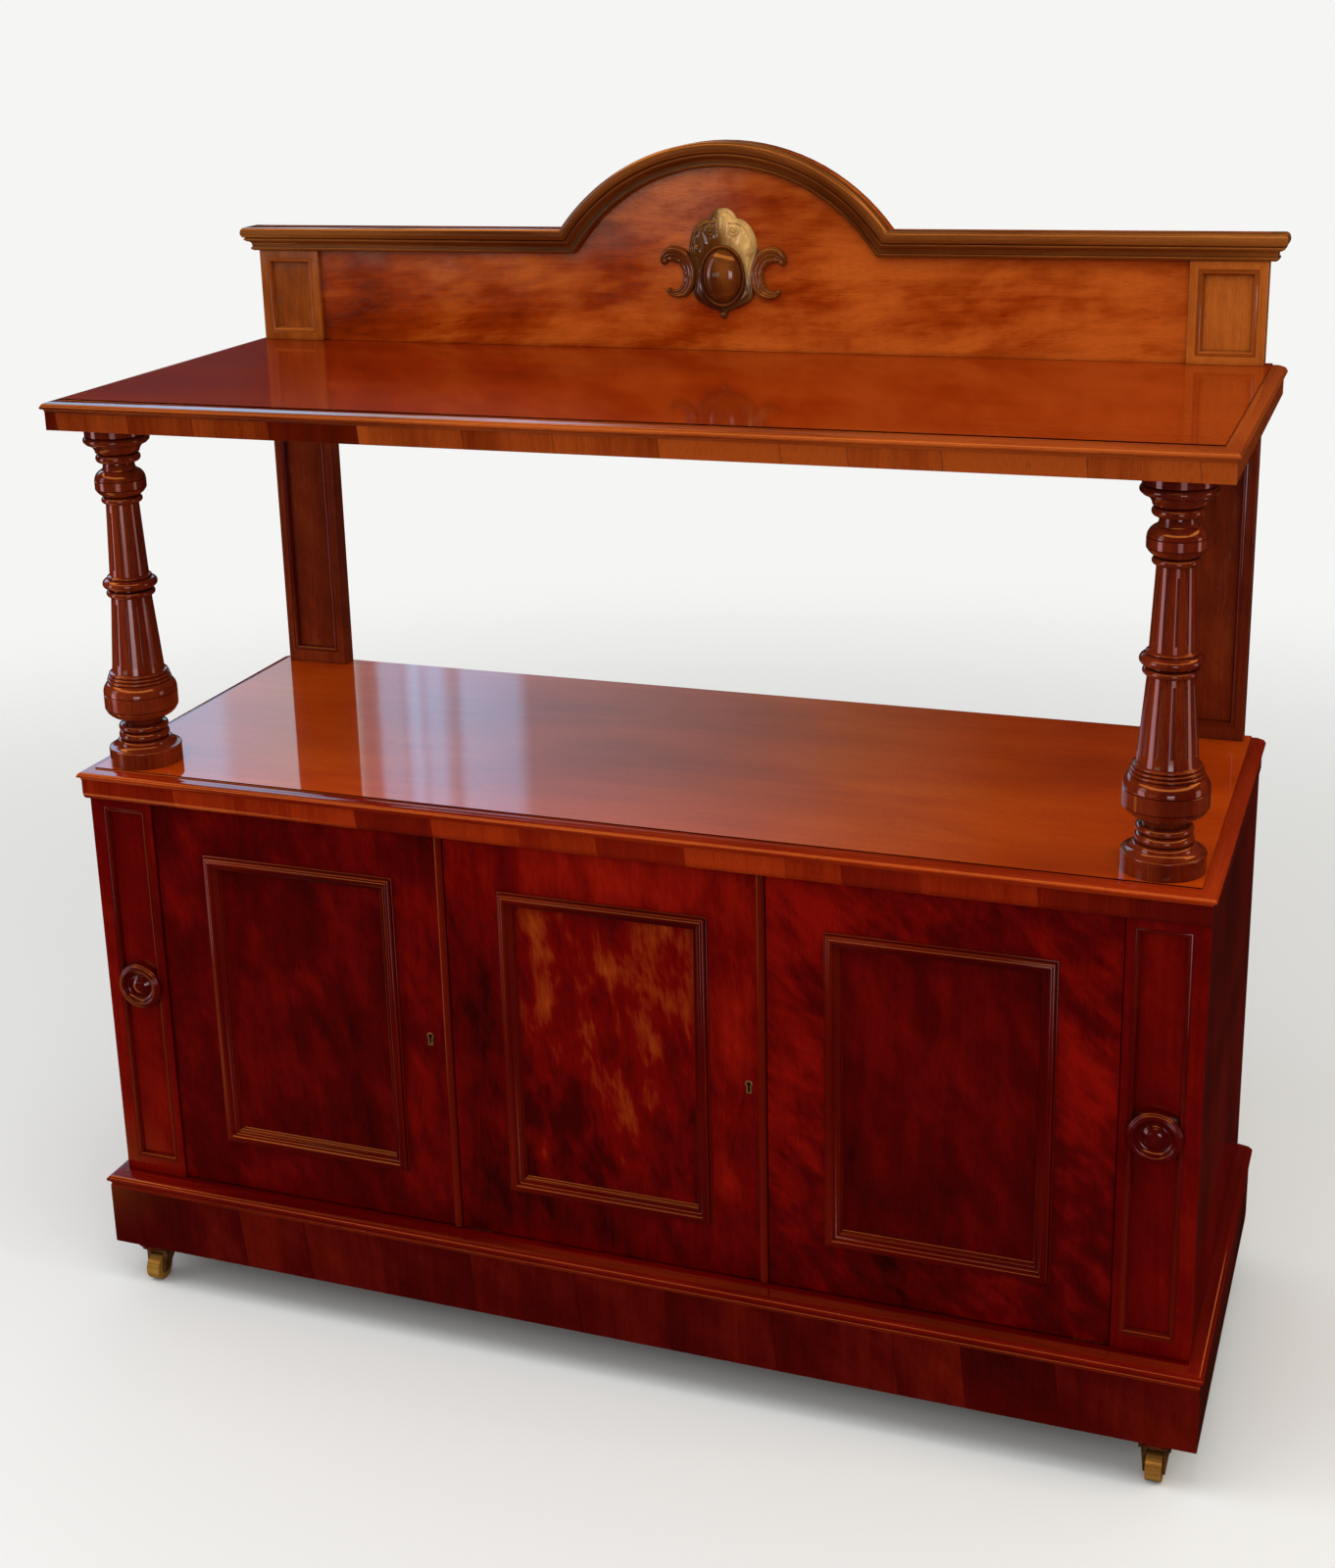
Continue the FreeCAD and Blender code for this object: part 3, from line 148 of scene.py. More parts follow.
class Shape:
    """Points, faces, grain coordinates and finish numbers of one piece."""

    def __init__(self):
        self.points = []
        self.faces = []
        self.maps = []
        self.finishes = []

    def add(self, points):
        start = len(self.points)
        self.points.extend(tuple(point) for point in points)
        return start

    def face(self, corners, maps=None, finish=0):
        self.faces.append(tuple(corners))
        self.maps.append(maps if maps else [(0.0, 0.0)] * len(corners))
        self.finishes.append(finish)

    def cap(self, row, maps=None, finish=0):
        """One face over the end of a grid."""
        start = self.add(row)
        self.face(range(start, start + len(row)), maps, finish)

    def grid(self, rows, around=False, finish=0, maps=None):
        """Quads between equal rows of points; around joins the last column to the first."""
        count = len(rows[0])
        starts = [self.add(row) for row in rows]
        for i in range(len(rows) - 1):
            for j in range(count if around else count - 1):
                a, b = starts[i] + j, starts[i] + (j + 1) % count
                d, c = starts[i + 1] + j, starts[i + 1] + (j + 1) % count
                pairs = [maps(i, j), maps(i, j + 1), maps(i + 1, j + 1), maps(i + 1, j)] if maps else None
                self.face((a, b, c, d), pairs, finish)

    def block(self, low, high):
        """Box with its own grain map along X."""
        x0, y0, z0 = low
        x1, y1, z1 = high
        start = self.add([(x, y, z) for z in (z0, z1) for y in (y0, y1) for x in (x0, x1)])
        for corners in ((0, 2, 3, 1), (4, 5, 7, 6), (0, 1, 5, 4), (2, 6, 7, 3), (0, 4, 6, 2), (1, 3, 7, 5)):
            points = [self.points[start + corner] for corner in corners]
            self.face([start + corner for corner in corners], [(x * MM, (y + z) * MM) for x, y, z in points])

    def piece(self, name, finishes, body="carcass", nodes=(), sharp=32.0):
        """Mesh object that rides on a body and stands for the node of its name or the named nodes."""
        mesh = bpy.data.meshes.new(name)
        mesh.from_pydata([(x * MM, y * MM, z * MM) for x, y, z in self.points], [], self.faces)
        layer = mesh.uv_layers.new(name="grain")
        spot = 0
        for polygon, maps, finish in zip(mesh.polygons, self.maps, self.finishes):
            polygon.material_index = finish
            for pair in maps:
                layer.data[spot].uv = pair
                spot += 1
        work = bmesh.new()
        work.from_mesh(mesh)
        bmesh.ops.remove_doubles(work, verts=work.verts, dist=TOUCHING)
        bmesh.ops.recalc_face_normals(work, faces=work.faces)
        work.to_mesh(mesh)
        work.free()
        for finish in finishes:
            mesh.materials.append(FINISH[finish])
        mesh.shade_smooth()
        mesh.set_sharp_from_angle(angle=math.radians(sharp))
        thing = placed(name, mesh)
        nodes = nodes or [name]
        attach(thing, body)
        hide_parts(*nodes)


def rounded(thing, width):
    """Eased arrises: a small bevel on every sharp edge."""
    seam = thing.modifiers.new("weld", "WELD")
    seam.merge_threshold = TOUCHING
    ease = thing.modifiers.new("ease", "BEVEL")
    ease.width = width * MM
    ease.segments = 2
    ease.limit_method = "ANGLE"
    ease.angle_limit = math.radians(34)
    ease.harden_normals = True
    ease.use_clamp_overlap = True


def sweep(shape, path, section, rise, closed=False, finish=0):
    """Moulding along a path with mitred corners; the section is (outward, rise) across the path."""
    path = [Vector(point) for point in path]
    rise = Vector(rise)
    count = len(path)
    last = count if closed else count - 1
    runs = [(path[(i + 1) % count] - path[i]).normalized() for i in range(last)]
    outward = runs[0].cross(rise).normalized()
    points = [path[0] + outward * out + rise * up for out, up in section]
    if closed:
        mitre = (runs[-1] + runs[0]).normalized()
        points = [p + runs[0] * ((path[0] - p).dot(mitre) / runs[0].dot(mitre)) for p in points]
    rows = [points]
    for i in range(1, last + 1):
        here, run = path[i % count], runs[i - 1]
        mitre = (run + runs[i % count]).normalized() if closed or i < last else run
        points = [p + run * ((here - p).dot(mitre) / run.dot(mitre)) for p in points]
        rows.append(points)
    if closed:
        rows[-1] = rows[0]
    girth = distances(section + section[:1])
    travel = [0.0]
    for i in range(last):
        travel.append(travel[-1] + (path[(i + 1) % count] - path[i]).length)
    shape.grid(rows, around=True, finish=finish, maps=lambda i, j: (travel[i] * MM, girth[j] * MM))
    if not closed:
        for row in (rows[0], rows[-1]):
            shape.cap(row, [(0.0, across * MM) for across in girth[:-1]], finish)


def spun(shape, outline, turns, place):
    """Lathe work: the outline is (radius, height); place turns (x, y, z) of the lathe into the frame."""
    rows = []
    for radius, height in outline:
        rows.append([place(radius * math.cos(turn), radius * math.sin(turn), height) for turn in turns])
    girth = distances(outline)
    widest = max(radius for radius, height in outline)
    shape.grid(rows, around=True,
               maps=lambda i, j: (girth[i] * MM, (turns[j] if j < len(turns) else math.tau) * widest * MM))


# Finishes

class Net:
    """Short calls for a material's or the world's nodes."""

    def __init__(self, owner):
        owner.use_nodes = True
        self.tree = owner.node_tree
        self.tree.nodes.clear()

    def put(self, socket, value):
        """A link, a number or a colour as a triple."""
        if isinstance(value, bpy.types.NodeSocket):
            self.tree.links.new(value, socket)
        else:
            socket.default_value = (*value, 1.0) if isinstance(value, tuple) else value

    def node(self, kind, ins=None, **settings):
        made = self.tree.nodes.new("ShaderNode" + kind)
        for key, value in settings.items():
            setattr(made, key, value)
        for key, value in (ins or {}).items():
            self.put(made.inputs[key], value)
        return made

    def math(self, operation, a, b=0.5, c=0.5, clamp=False):
        return self.node("Math", {0: a, 1: b, 2: c}, operation=operation, use_clamp=clamp).outputs[0]

    def times(self, a, b):
        return self.math("MULTIPLY", a, b)

    def sway(self, value, amount, base):
        """The base, moved up or down as the value leaves its middle of 0.5."""
        return self.math("MULTIPLY_ADD", self.math("SUBTRACT", value, 0.5), amount, base)

    def ease(self, value, low, high, start=0.0, end=1.0):
        ins = {0: value, 1: low, 2: high, 3: start, 4: end}
        return self.node("MapRange", ins, interpolation_type="SMOOTHSTEP").outputs[0]

    def band(self, value, start, full, fade, end):
        """0 up to start, 1 from full to fade, and 0 again from end."""
        return self.times(self.ease(value, start, full), self.ease(value, fade, end, 1.0, 0.0))

    def mix(self, share, a, b, blend="MIX"):
        made = self.node("Mix", data_type="RGBA", blend_type=blend)
        sockets = {socket.identifier: socket for socket in made.inputs}
        for key, value in (("Factor_Float", share), ("A_Color", a), ("B_Color", b)):
            self.put(sockets[key], value)
        return [socket for socket in made.outputs if socket.identifier == "Result_Color"][0]

    def noise(self, vector, scale=1.0, detail=2.0, rough=0.5, distortion=0.0):
        return self.node("TexNoise", {"Vector": vector, "Scale": scale, "Detail": detail, "Roughness": rough,
                                      "Distortion": distortion}).outputs[0]

    def ramp(self, value, stops):
        made = self.node("ValToRGB", {0: value})
        line = made.color_ramp.elements
        while len(line) < len(stops):
            line.new(0.5)
        for element, (spot, colour) in zip(line, stops):
            element.position = spot
            element.color = (*colour, 1.0)
        return made.outputs[0]

    def vector(self, x, y, z):
        return self.node("CombineXYZ", {0: x, 1: y, 2: z}).outputs[0]

    def split(self, vector):
        return self.node("SeparateXYZ", {0: vector}).outputs

    def bump(self, height, strength, distance):
        return self.node("Bump", {"Strength": strength, "Distance": distance, "Height": height}).outputs[0]

    def bearing(self, x, y):
        """Degrees round the upright axis: 0 behind the object, 180 before it, plus on the right."""
        return self.times(self.math("ARCTAN2", x, y), math.degrees(1.0))

    def surface(self, ins):
        self.node("OutputMaterial", {"Surface": self.node("BsdfPrincipled", ins).outputs[0]})


# Noise in the wood: frequency along and across the grain, detail, roughness, distortion
BLOTCH, RIBBON = (2.6, 7.0, 2.0, 0.5, 0.5), (1.3, 75.0, 4.0, 0.6, 0.2)
FIBRE, PORE = (16.0, 620.0, 2.0, 0.6, 0.0), (75.0, 1500.0, 1.0, 0.5, 0.0)
# Leaning clouds: frequency down and over the lean, detail, distortion, strength
CLOUDS = ((14.0, 30.0, 2.5, 0.3, 1.25), (5.0, 8.0, 2.0, 0.3, 0.8), (60.0, 190.0, 2.0, 0.2, 0.35))
CLOUD_ROUGH = 0.55
TONE_STOPS = (0.16, 0.48, 0.86)
PORE_SHARE, SEAM_SHARE = 0.3, 0.5  # how dark pores and seams are beside the dark tone


def wood(name, tones, grain="z", on_map=False, shift=0.0, blocks=0.0, block_tone=0.0, figure=0.5, stripe=0.5,
         mottle=0.0, lean=35.0, fine=1.0, painted_lights=(), fade=None, coat=0.8, polish=0.06, wave=1.0, edge_wear_and_highlight=0.0,
         rough=0.38, level=0.01):
    """Polished wood: drifting grain, ribbon stripes, leaning mottle, fibres, open pores and painted shade in
    the hollows.

    blocks is the width of cross-banded strips along X. A painted light spot is (x, z, width, height,
    strength) and a fade is (x from, x to, strength); both move the tone where they are. A spot is a painted
    highlight where its strength is positive and painted shade where it is negative; a fade is painted light
    that makes one side lighter or darker.
    """
    material = bpy.data.materials.new(name)
    net = Net(material)
    coords = net.node("TexCoord")
    x, y, z = net.split(coords.outputs["Object"])
    if on_map:
        along, across, deep = net.split(coords.outputs["UV"])
    else:
        along, across, deep = (x, z, y) if grain == "x" else (z, x, y)
    if blocks:
        line = net.times(net.math("MULTIPLY_ADD", along, 0.1, x), 1.0 / (blocks * MM))
        strips = {"W": line, "Scale": 1.0, "Randomness": 0.75}
        cell = net.node("TexVoronoi", strips, voronoi_dimensions="1D")
        pick = net.node("SeparateColor", {0: cell.outputs["Color"]}).outputs
        along = net.math("MULTIPLY_ADD", pick[0], 3.0, along)
        across = net.math("MULTIPLY_ADD", pick[1], 0.4, across)
    along = net.math("ADD", along, shift)
    place = net.vector(along, across, deep)
    drift = net.noise(net.vector(net.times(along, 1.6), net.times(across, 4.0), deep), 1.0, 2.0)
    bent = net.sway(drift, 0.1, across)

    def stretched(lengthwise, crosswise, detail, roughness, distortion):
        spread = net.vector(net.times(along, lengthwise), net.times(bent, crosswise),
                            net.times(deep, crosswise))
        return net.noise(spread, 1.0, detail, roughness, distortion)

    fibre = stretched(*FIBRE)
    value = net.sway(stretched(*BLOTCH), 1.3 * figure, 0.5)
    value = net.sway(stretched(*RIBBON), 0.6 * stripe, value)
    value = net.sway(fibre, 0.5 * stripe, value)
    if mottle:
        # short soft clouds that lean across the grain, with feathered ends and fine chatter
        cosine, sine = math.cos(math.radians(lean)), math.sin(math.radians(lean))
        down = net.math("MULTIPLY_ADD", across, sine, net.times(along, -cosine))
        over = net.math("MULTIPLY_ADD", across, cosine, net.times(along, sine))
        for lengthwise, crosswise, detail, distortion, strength in CLOUDS:
            spread = net.vector(net.times(down, lengthwise * fine), net.times(over, crosswise * fine), deep)
            cloud = net.noise(spread, 1.0, detail, CLOUD_ROUGH, distortion)
            value = net.sway(cloud, strength * mottle, value)
    # painted light: each spot is a painted highlight where its strength is positive and painted shade where
    # it is negative
    for glow_x, glow_z, wide, tall, strength in painted_lights:
        aside = net.times(net.math("SUBTRACT", x, glow_x * MM), METRE / wide)
        above = net.times(net.math("SUBTRACT", z, glow_z * MM), METRE / tall)
        away = net.math("MULTIPLY_ADD", aside, aside, net.times(above, above))
        value = net.math("MULTIPLY_ADD", net.math("EXPONENT", net.times(away, -1.0)), strength, value)
    if blocks:
        value = net.sway(pick[2], block_tone, value)
    # painted light: the fade lightens or darkens the tone across X, as if one side of the piece were lit more
    if fade:
        start, end, strength = fade
        value = net.math("ADD", value, net.ease(x, start * MM, end * MM, 0.0, strength))
    colour = net.ramp(value, list(zip(TONE_STOPS, tones)))
    specks = net.ease(stretched(*PORE), 0.57, 0.7)
    colour = net.mix(net.times(specks, 0.4), colour, tuple(part * PORE_SHARE for part in tones[0]))
    if blocks:
        edge = net.node("TexVoronoi", strips, voronoi_dimensions="1D", feature="DISTANCE_TO_EDGE")
        seam = net.ease(edge.outputs["Distance"], 0.0, 0.01, 0.5, 0.0)
        colour = net.mix(seam, colour, tuple(part * SEAM_SHARE for part in tones[0]))
    # painted shade: the colour darkens where ambient occlusion finds hollows, corners and joints
    hollow = net.node("AmbientOcclusion", {"Distance": 0.012}, samples=6)
    shade = net.ease(hollow.outputs["AO"], 0.1, 0.8, 0.32, 1.0)
    painted_shade = net.node("CombineColor", {0: shade, 1: shade, 2: shade})
    colour = net.mix(1.0, colour, painted_shade.outputs[0], "MULTIPLY")
    # worn edges and painted highlight: convex edges are lightened toward the light tone
    if edge_wear_and_highlight:
        rubbed_edge_highlight = net.ease(net.node("NewGeometry").outputs["Pointiness"], 0.52, 0.6)
        colour = net.mix(net.times(rubbed_edge_highlight, edge_wear_and_highlight), colour, tones[2])
    relief = net.math("MULTIPLY_ADD", specks, -0.6, net.times(fibre, 0.5))
    dish = net.math("ADD", net.noise(place, 11.0, 2.0, 0.5), net.times(specks, -0.02))
    net.surface({"Base Color": colour, "Roughness": net.sway(net.noise(place, 7.0, 3.0, 0.6), 0.16, rough),
                 "Normal": net.bump(relief, 0.1, 0.0003), "Coat Normal": net.bump(dish, 0.25 * wave, 0.0016),
                 "Specular IOR Level": level, "Coat Weight": coat, "Coat Roughness": polish, "Coat IOR": 1.5})
    return material


def metal(name, tones, rough, spots=0.5):
    """Lacquered brass gone brown in the hollows, with fine scratches; the tones are clean and tarnished."""
    material = bpy.data.materials.new(name)
    net = Net(material)
    place = net.node("TexCoord").outputs["Object"]
    cloud = net.noise(place, 60.0, 4.0, 0.6)
    scratches = net.noise(place, 900.0, 2.0, 0.6)
    hollow = net.node("AmbientOcclusion", {"Distance": 0.006}, samples=6).outputs["AO"]
    deep = net.ease(hollow, 0.9, 0.3, 0.0, 0.6)
    age = net.math("MULTIPLY_ADD", net.ease(cloud, 0.35, 0.7), spots, deep, clamp=True)
    net.surface({"Base Color": net.mix(age, *tones), "Metallic": 0.9,
                 "Roughness": net.math("MULTIPLY_ADD", cloud, 0.3, rough),
                 "Normal": net.bump(scratches, 0.15, 0.0002)})
    return material


# Dark, middle and light tones of each cut of mahogany, and of lit copies with painted sheen, in linear light
DOOR = ((0.022, 0.0002, 0.0001), (0.078, 0.0003, 0.0002), (0.21, 0.0026, 0.0006))
PANEL = ((0.018, 0.0002, 0.0001), (0.068, 0.0003, 0.0002), (0.16, 0.0018, 0.0004))
# painted sheen: a lighter copy of the door tones for the centre door
PAINTED_SHEEN_DOOR = ((0.03, 0.0002, 0.0001), (0.116, 0.0006, 0.0002), (0.27, 0.006, 0.0008))
# painted glints: the light tone is the orange glint of reflected light on the centre panel
PAINTED_GLINT_PANEL = ((0.044, 0.0002, 0.0001), (0.146, 0.0008, 0.0003), (0.34, 0.046, 0.0042))
GILT = ((0.044, 0.0085, 0.0018), (0.125, 0.05, 0.0085), (0.66, 0.42, 0.135))
PILASTER = ((0.039, 0.0003, 0.0001), (0.109, 0.0006, 0.0002), (0.242, 0.0063, 0.0009))
GALLERY = ((0.108, 0.0078, 0.0004), (0.264, 0.029, 0.001), (0.5, 0.105, 0.012))
SHELF = ((0.13, 0.007, 0.0002), (0.192, 0.0125, 0.0004), (0.291, 0.031, 0.001))
COUNTER_TONES = ((0.312, 0.026, 0.0008), (0.468, 0.0499, 0.0017), (0.624, 0.0936, 0.0042))
FRIEZE = ((0.08, 0.002, 0.0003), (0.185, 0.0075, 0.0006), (0.36, 0.032, 0.0032))
EDGE = ((0.034, 0.0012, 0.0001), (0.114, 0.0076, 0.0004), (0.335, 0.056, 0.007))
PLINTH = ((0.018, 0.0003, 0.0002), (0.06, 0.0008, 0.0004), (0.14, 0.006, 0.0012))
POST = ((0.058, 0.0072, 0.0027), (0.152, 0.0192, 0.0051), (0.294, 0.0552, 0.012))
SHORT_POST = ((0.1, 0.016, 0.002), (0.245, 0.054, 0.0065), (0.46, 0.125, 0.017))
TURNED = ((0.022, 0.001, 0.0004), (0.08, 0.0058, 0.0017), (0.25, 0.033, 0.007))
MOULDED = ((0.022, 0.0003, 0.0002), (0.07, 0.0006, 0.0003), (0.18, 0.011, 0.0016))
CARVED = ((0.028, 0.006, 0.0013), (0.094, 0.022, 0.0036), (0.29, 0.09, 0.015))
PLAIN = ((0.09, 0.026, 0.009), (0.185, 0.064, 0.023), (0.32, 0.14, 0.055))
PLINTH_EDGE = (*DOOR[:2], (0.225, 0.008, 0.001))
ROLLER = ((0.07, 0.026, 0.006), (0.24, 0.105, 0.018), (0.52, 0.29, 0.06))
# Clean and tarnished brass
BRASS = ((0.62, 0.4, 0.14), (0.16, 0.085, 0.03))
CASTER_BRASS = ((0.46, 0.27, 0.1), (0.1, 0.05, 0.02))

# Each fade is painted light, one side of a piece lighter or darker as if lit more from that side; each
# painted light spot is a painted highlight or painted shade
FINISH = {
    "counter": wood("counter_veneer", COUNTER_TONES, grain="x", figure=0.7, coat=1.0, polish=0.04, wave=0.18),
    "counter_edge": wood(
        "counter_edge", FRIEZE, on_map=True, figure=0.6, stripe=0.6, coat=0.9, fade=(-400, 800, 0.15)),
    "shelf": wood(
        "shelf_veneer", SHELF, grain="x", figure=0.6, coat=0.85, shift=4.0, wave=0.15,
        fade=(-500, 760, 0.3)),
    "shelf_edge": wood(
        "shelf_edge", EDGE, on_map=True, figure=0.6, stripe=0.6, coat=0.9, shift=2.0,
        fade=(-600, 700, 0.42)),
    "gallery": wood(
        "gallery_veneer", GALLERY, grain="x", mottle=0.95, lean=-9.0, fine=0.55, coat=0.9, shift=1.2,
        fade=(-600, 600, 0.34)),
    "cornice": wood(
        "cornice_wood", CARVED, on_map=True, stripe=0.6, coat=1.0, wave=0.4, shift=7.0, edge_wear_and_highlight=0.3,
        fade=(-500, 700, 0.2)),
    "carved": wood("carved_crest", CARVED, stripe=0.4, coat=1.0, polish=0.09, wave=0.5, edge_wear_and_highlight=0.5),
    # painted light: painted highlights on the leaf's right half and top, painted shade on its lower body and
    # left side
    "leaf": wood(
        "carved_leaf", GILT, stripe=0.4, coat=1.0, polish=0.1, edge_wear_and_highlight=0.4, shift=2.0, wave=0.4,
        fade=(-8, 10, 0.16),
        painted_lights=((0, 1370, 90, 40, -0.45), (-30, 1450, 30, 46, -0.17), (9, 1490, 13, 15, 0.32),
               (31, 1462, 15, 20, 0.34), (36, 1425, 12, 16, 0.2))),
    # painted light: painted shade on the boss's lower left and a painted highlight above its middle
    "boss": wood(
        "carved_boss", CARVED, figure=0.4, stripe=0.4, coat=1.0, polish=0.05, shift=3.0, wave=0.1,
        painted_lights=((-12, 1402, 16, 22, -0.2), (4, 1418, 14, 16, 0.2))),
    "posts": wood("post_veneer", POST, figure=0.6, stripe=0.6, mottle=0.25, shift=2.4),
    "short_posts": wood(
        "gallery_post_veneer", SHORT_POST, figure=0.6, stripe=0.6, mottle=0.25, shift=3.7,
        fade=(-700, 700, 0.25)),
    "beads": wood("bead_wood", TURNED, on_map=True, coat=0.9, shift=5.0),
    "short_beads": wood("gallery_bead_wood", SHORT_POST, on_map=True, coat=0.9, shift=6.6),
    "dark_beads": wood("dark_bead_wood", MOULDED, on_map=True, coat=0.7, polish=0.1, shift=6.0),
    # painted light: the spot makes the left column lighter than the right one
    "columns": wood(
        "turned_mahogany", TURNED, figure=0.6, stripe=0.6, coat=1.0, wave=0.4, shift=1.0, edge_wear_and_highlight=0.35,
        painted_lights=((-691, 1030, 400, 1200, 0.2),)),
    "pilasters": wood("pilaster_veneer", PILASTER, mottle=0.3, shift=6.0),
    "roundels": wood("turned_roundel", MOULDED, coat=1.0, polish=0.13, wave=0.3, shift=8.0, edge_wear_and_highlight=0.3),
    "mouldings": wood("door_moulding", MOULDED, on_map=True, stripe=0.2, wave=0.3, shift=3.3, edge_wear_and_highlight=0.35),
    # painted shade: the fade darkens the frieze towards its right end
    "frieze": wood(
        "frieze_crossbanding", FRIEZE, blocks=105.0, block_tone=0.45, coat=0.85, shift=1.7,
        fade=(420, 760, -0.22)),
    "shelf_frieze": wood(
        "shelf_crossbanding", EDGE, blocks=120.0, block_tone=0.45, coat=0.85, shift=9.1,
        fade=(-600, 700, 0.42)),
    "plinth": wood(
        "plinth_crossbanding", PLINTH, blocks=130.0, block_tone=0.14, figure=0.6, mottle=0.3, shift=0.4),
    "plinth_edge": wood(
        "plinth_moulding", PLINTH_EDGE, on_map=True, stripe=0.6, coat=1.0, wave=0.3, edge_wear_and_highlight=0.25),
    "bottom_board": wood("bottom_board_wood", DOOR, grain="x", shift=7.7),
    "sides": wood("side_veneer", DOOR, figure=0.6, mottle=0.4, lean=20.0, coat=0.7, shift=11.0),
    # painted sheen and shade: spots lighten upper rails, stiles and glinting panel areas, and darken lower
    # and left parts where less light falls
    "left_panel": wood(
        "left_door_panel", PANEL, figure=0.3, stripe=0.3, mottle=0.55, lean=18.0, shift=2.9,
        painted_lights=((-520, 430, 90, 150, 0.1), (-370, 320, 60, 200, -0.1))),
    "centre_panel": wood(
        "centre_door_panel", PAINTED_GLINT_PANEL, figure=0.3, stripe=0.3, mottle=0.82, lean=12.0, fine=0.92, shift=5.3,
        painted_lights=((20, 440, 500, 800, -0.13), (20, 640, 150, 100, 0.1), (60, 470, 60, 110, 0.05),
               (-60, 300, 120, 110, -0.1), (100, 300, 60, 140, -0.05))),
    "right_panel": wood(
        "right_door_panel", PANEL, figure=0.3, stripe=0.3, mottle=0.5, lean=20.0, shift=8.8,
        painted_lights=((360, 600, 90, 120, 0.08), (450, 330, 130, 110, -0.1))),
    "left_door": wood(
        "left_door_frame", DOOR, figure=0.3, stripe=0.35, mottle=0.5, lean=22.0, shift=0.6,
        painted_lights=((-590, 260, 60, 90, -0.1), (-300, 240, 130, 60, -0.08))),
    "centre_door": wood(
        "centre_door_frame", PAINTED_SHEEN_DOOR, figure=0.3, stripe=0.4, mottle=0.55, lean=14.0, shift=2.5,
        painted_lights=((20, 730, 190, 60, 0.26), (175, 560, 60, 190, 0.1), (-180, 420, 60, 320, -0.22),
               (0, 210, 240, 60, -0.2))),
    "right_door": wood(
        "right_door_frame", DOOR, figure=0.25, stripe=0.3, mottle=0.66, lean=46.0, fine=1.45, shift=4.4,
        painted_lights=((300, 730, 110, 60, 0.3), (245, 560, 60, 190, 0.18), (600, 560, 70, 170, 0.2),
               (430, 200, 260, 60, -0.08))),
    "plain": wood("secondary_wood", PLAIN, figure=0.6, stripe=1.0, coat=0.0, rough=0.62, level=0.35),
    "plain_long": wood(
        "secondary_wood_long", PLAIN, grain="x", figure=0.6, stripe=1.0, coat=0.0, rough=0.62, level=0.35,
        shift=3.1),
    "brass": metal("aged_brass", BRASS, 0.22),
    "caster": metal("caster_brass", CASTER_BRASS, 0.26, spots=0.8),
    "roller": wood("caster_roller", ROLLER, grain="x", stripe=0.8, coat=0.5, rough=0.4),
}


# Carcass pieces

def flat(section):
    """Section traced in (outward, down) and returned as (outward, rise)."""
    return [(out, -down) for out, down in trace(section)]


def three_sides(half, front, height):
    """Path round the left end, the front and the right end."""
    return [(-half, BACK, height), (-half, front, height), (half, front, height), (half, BACK, height)]


def build_tops():
    """Moulded counter and shelf: a flat field with the thumb moulding mitred round three edges."""
    inset = 20.0
    half = HALF_TOP - inset
    for name, top, under, front, finishes in (
            ("lower_top", COUNTER, COUNTER_UNDER, COUNTER_FRONT, ("counter", "counter_edge")),
            ("shelf_board", SHELF_TOP, SHELF_EDGE_UNDER, SHELF_FRONT, ("shelf", "shelf_edge"))):
        thick = top - under
        shape = Shape()
        shape.block((-half, front + inset, under), (half, BACK, top))
        section = flat((
            (0, 0), (0, 1.5), (0.5, 2.0), (4.5, 2.0, -0.06), (13.0, 3.6, -0.16),
            (18.6, thick * 0.5, -0.3), (18.2, thick * 0.74), (17.2, thick * 0.76, 0.22),
            (15.2, thick - 0.6), (15.0, thick), (0, thick)))
        sweep(shape, three_sides(half, front + inset, top), section, UP, finish=1)
        shape.piece(name, finishes, sharp=40.0)


def build_plinth_moulding():
    """Rounded nose mitred round the top of the plinth."""
    section = flat((
        (0, 0), (1.0, 0), (12.0, 1.8, -0.1), (18.2, 4.6, -0.34), (18.6, 11.4), (17.2, 12.0),
        (17.0, 13.0, 0.24), (16.6, 17.4), (16.8, 20.0), (0, 20.0)))
    shape = Shape()
    sweep(shape, three_sides(HALF_CARCASS, CARCASS_FRONT, FLOOR_TOP), section, UP)
    shape.piece("plinth_moulding", ["plinth_edge"])


def build_cornice():
    """Cornice with returns, mitred up over the arch in one run."""
    section = flat((
        (0, 0), (17.0, 0, -0.16), (22.4, 5.0, -0.12), (22.0, 12.6, -0.16), (19.0, 15.4), (17.8, 15.4),
        (17.6, 16.2, -0.5), (17.6, 19.8), (16.6, 20.4), (16.4, 21.2, 0.26), (10.6, 28.4), (10.0, 28.8),
        (10.0, 29.6, -0.5), (10.0, 33.8), (9.0, 35.0), (0, 35.0)))
    spring = math.acos((CORNICE_TOP - ARCH_CENTRE) / ARCH_RADIUS)
    steps = 56
    path = three_sides(HALF_POSTS, GALLERY_FRONT, CORNICE_TOP)
    arch = []
    for step in range(steps + 1):
        angle = -spring + 2 * spring * step / steps
        height = ARCH_CENTRE + ARCH_RADIUS * math.cos(angle)
        arch.append((ARCH_RADIUS * math.sin(angle), GALLERY_FRONT, height))
    shape = Shape()
    sweep(shape, path[:2] + arch + path[2:], section, UP)
    shape.piece("cornice", ["cornice"], nodes=["cornice_sides", "cornice_arch"], sharp=38.0)


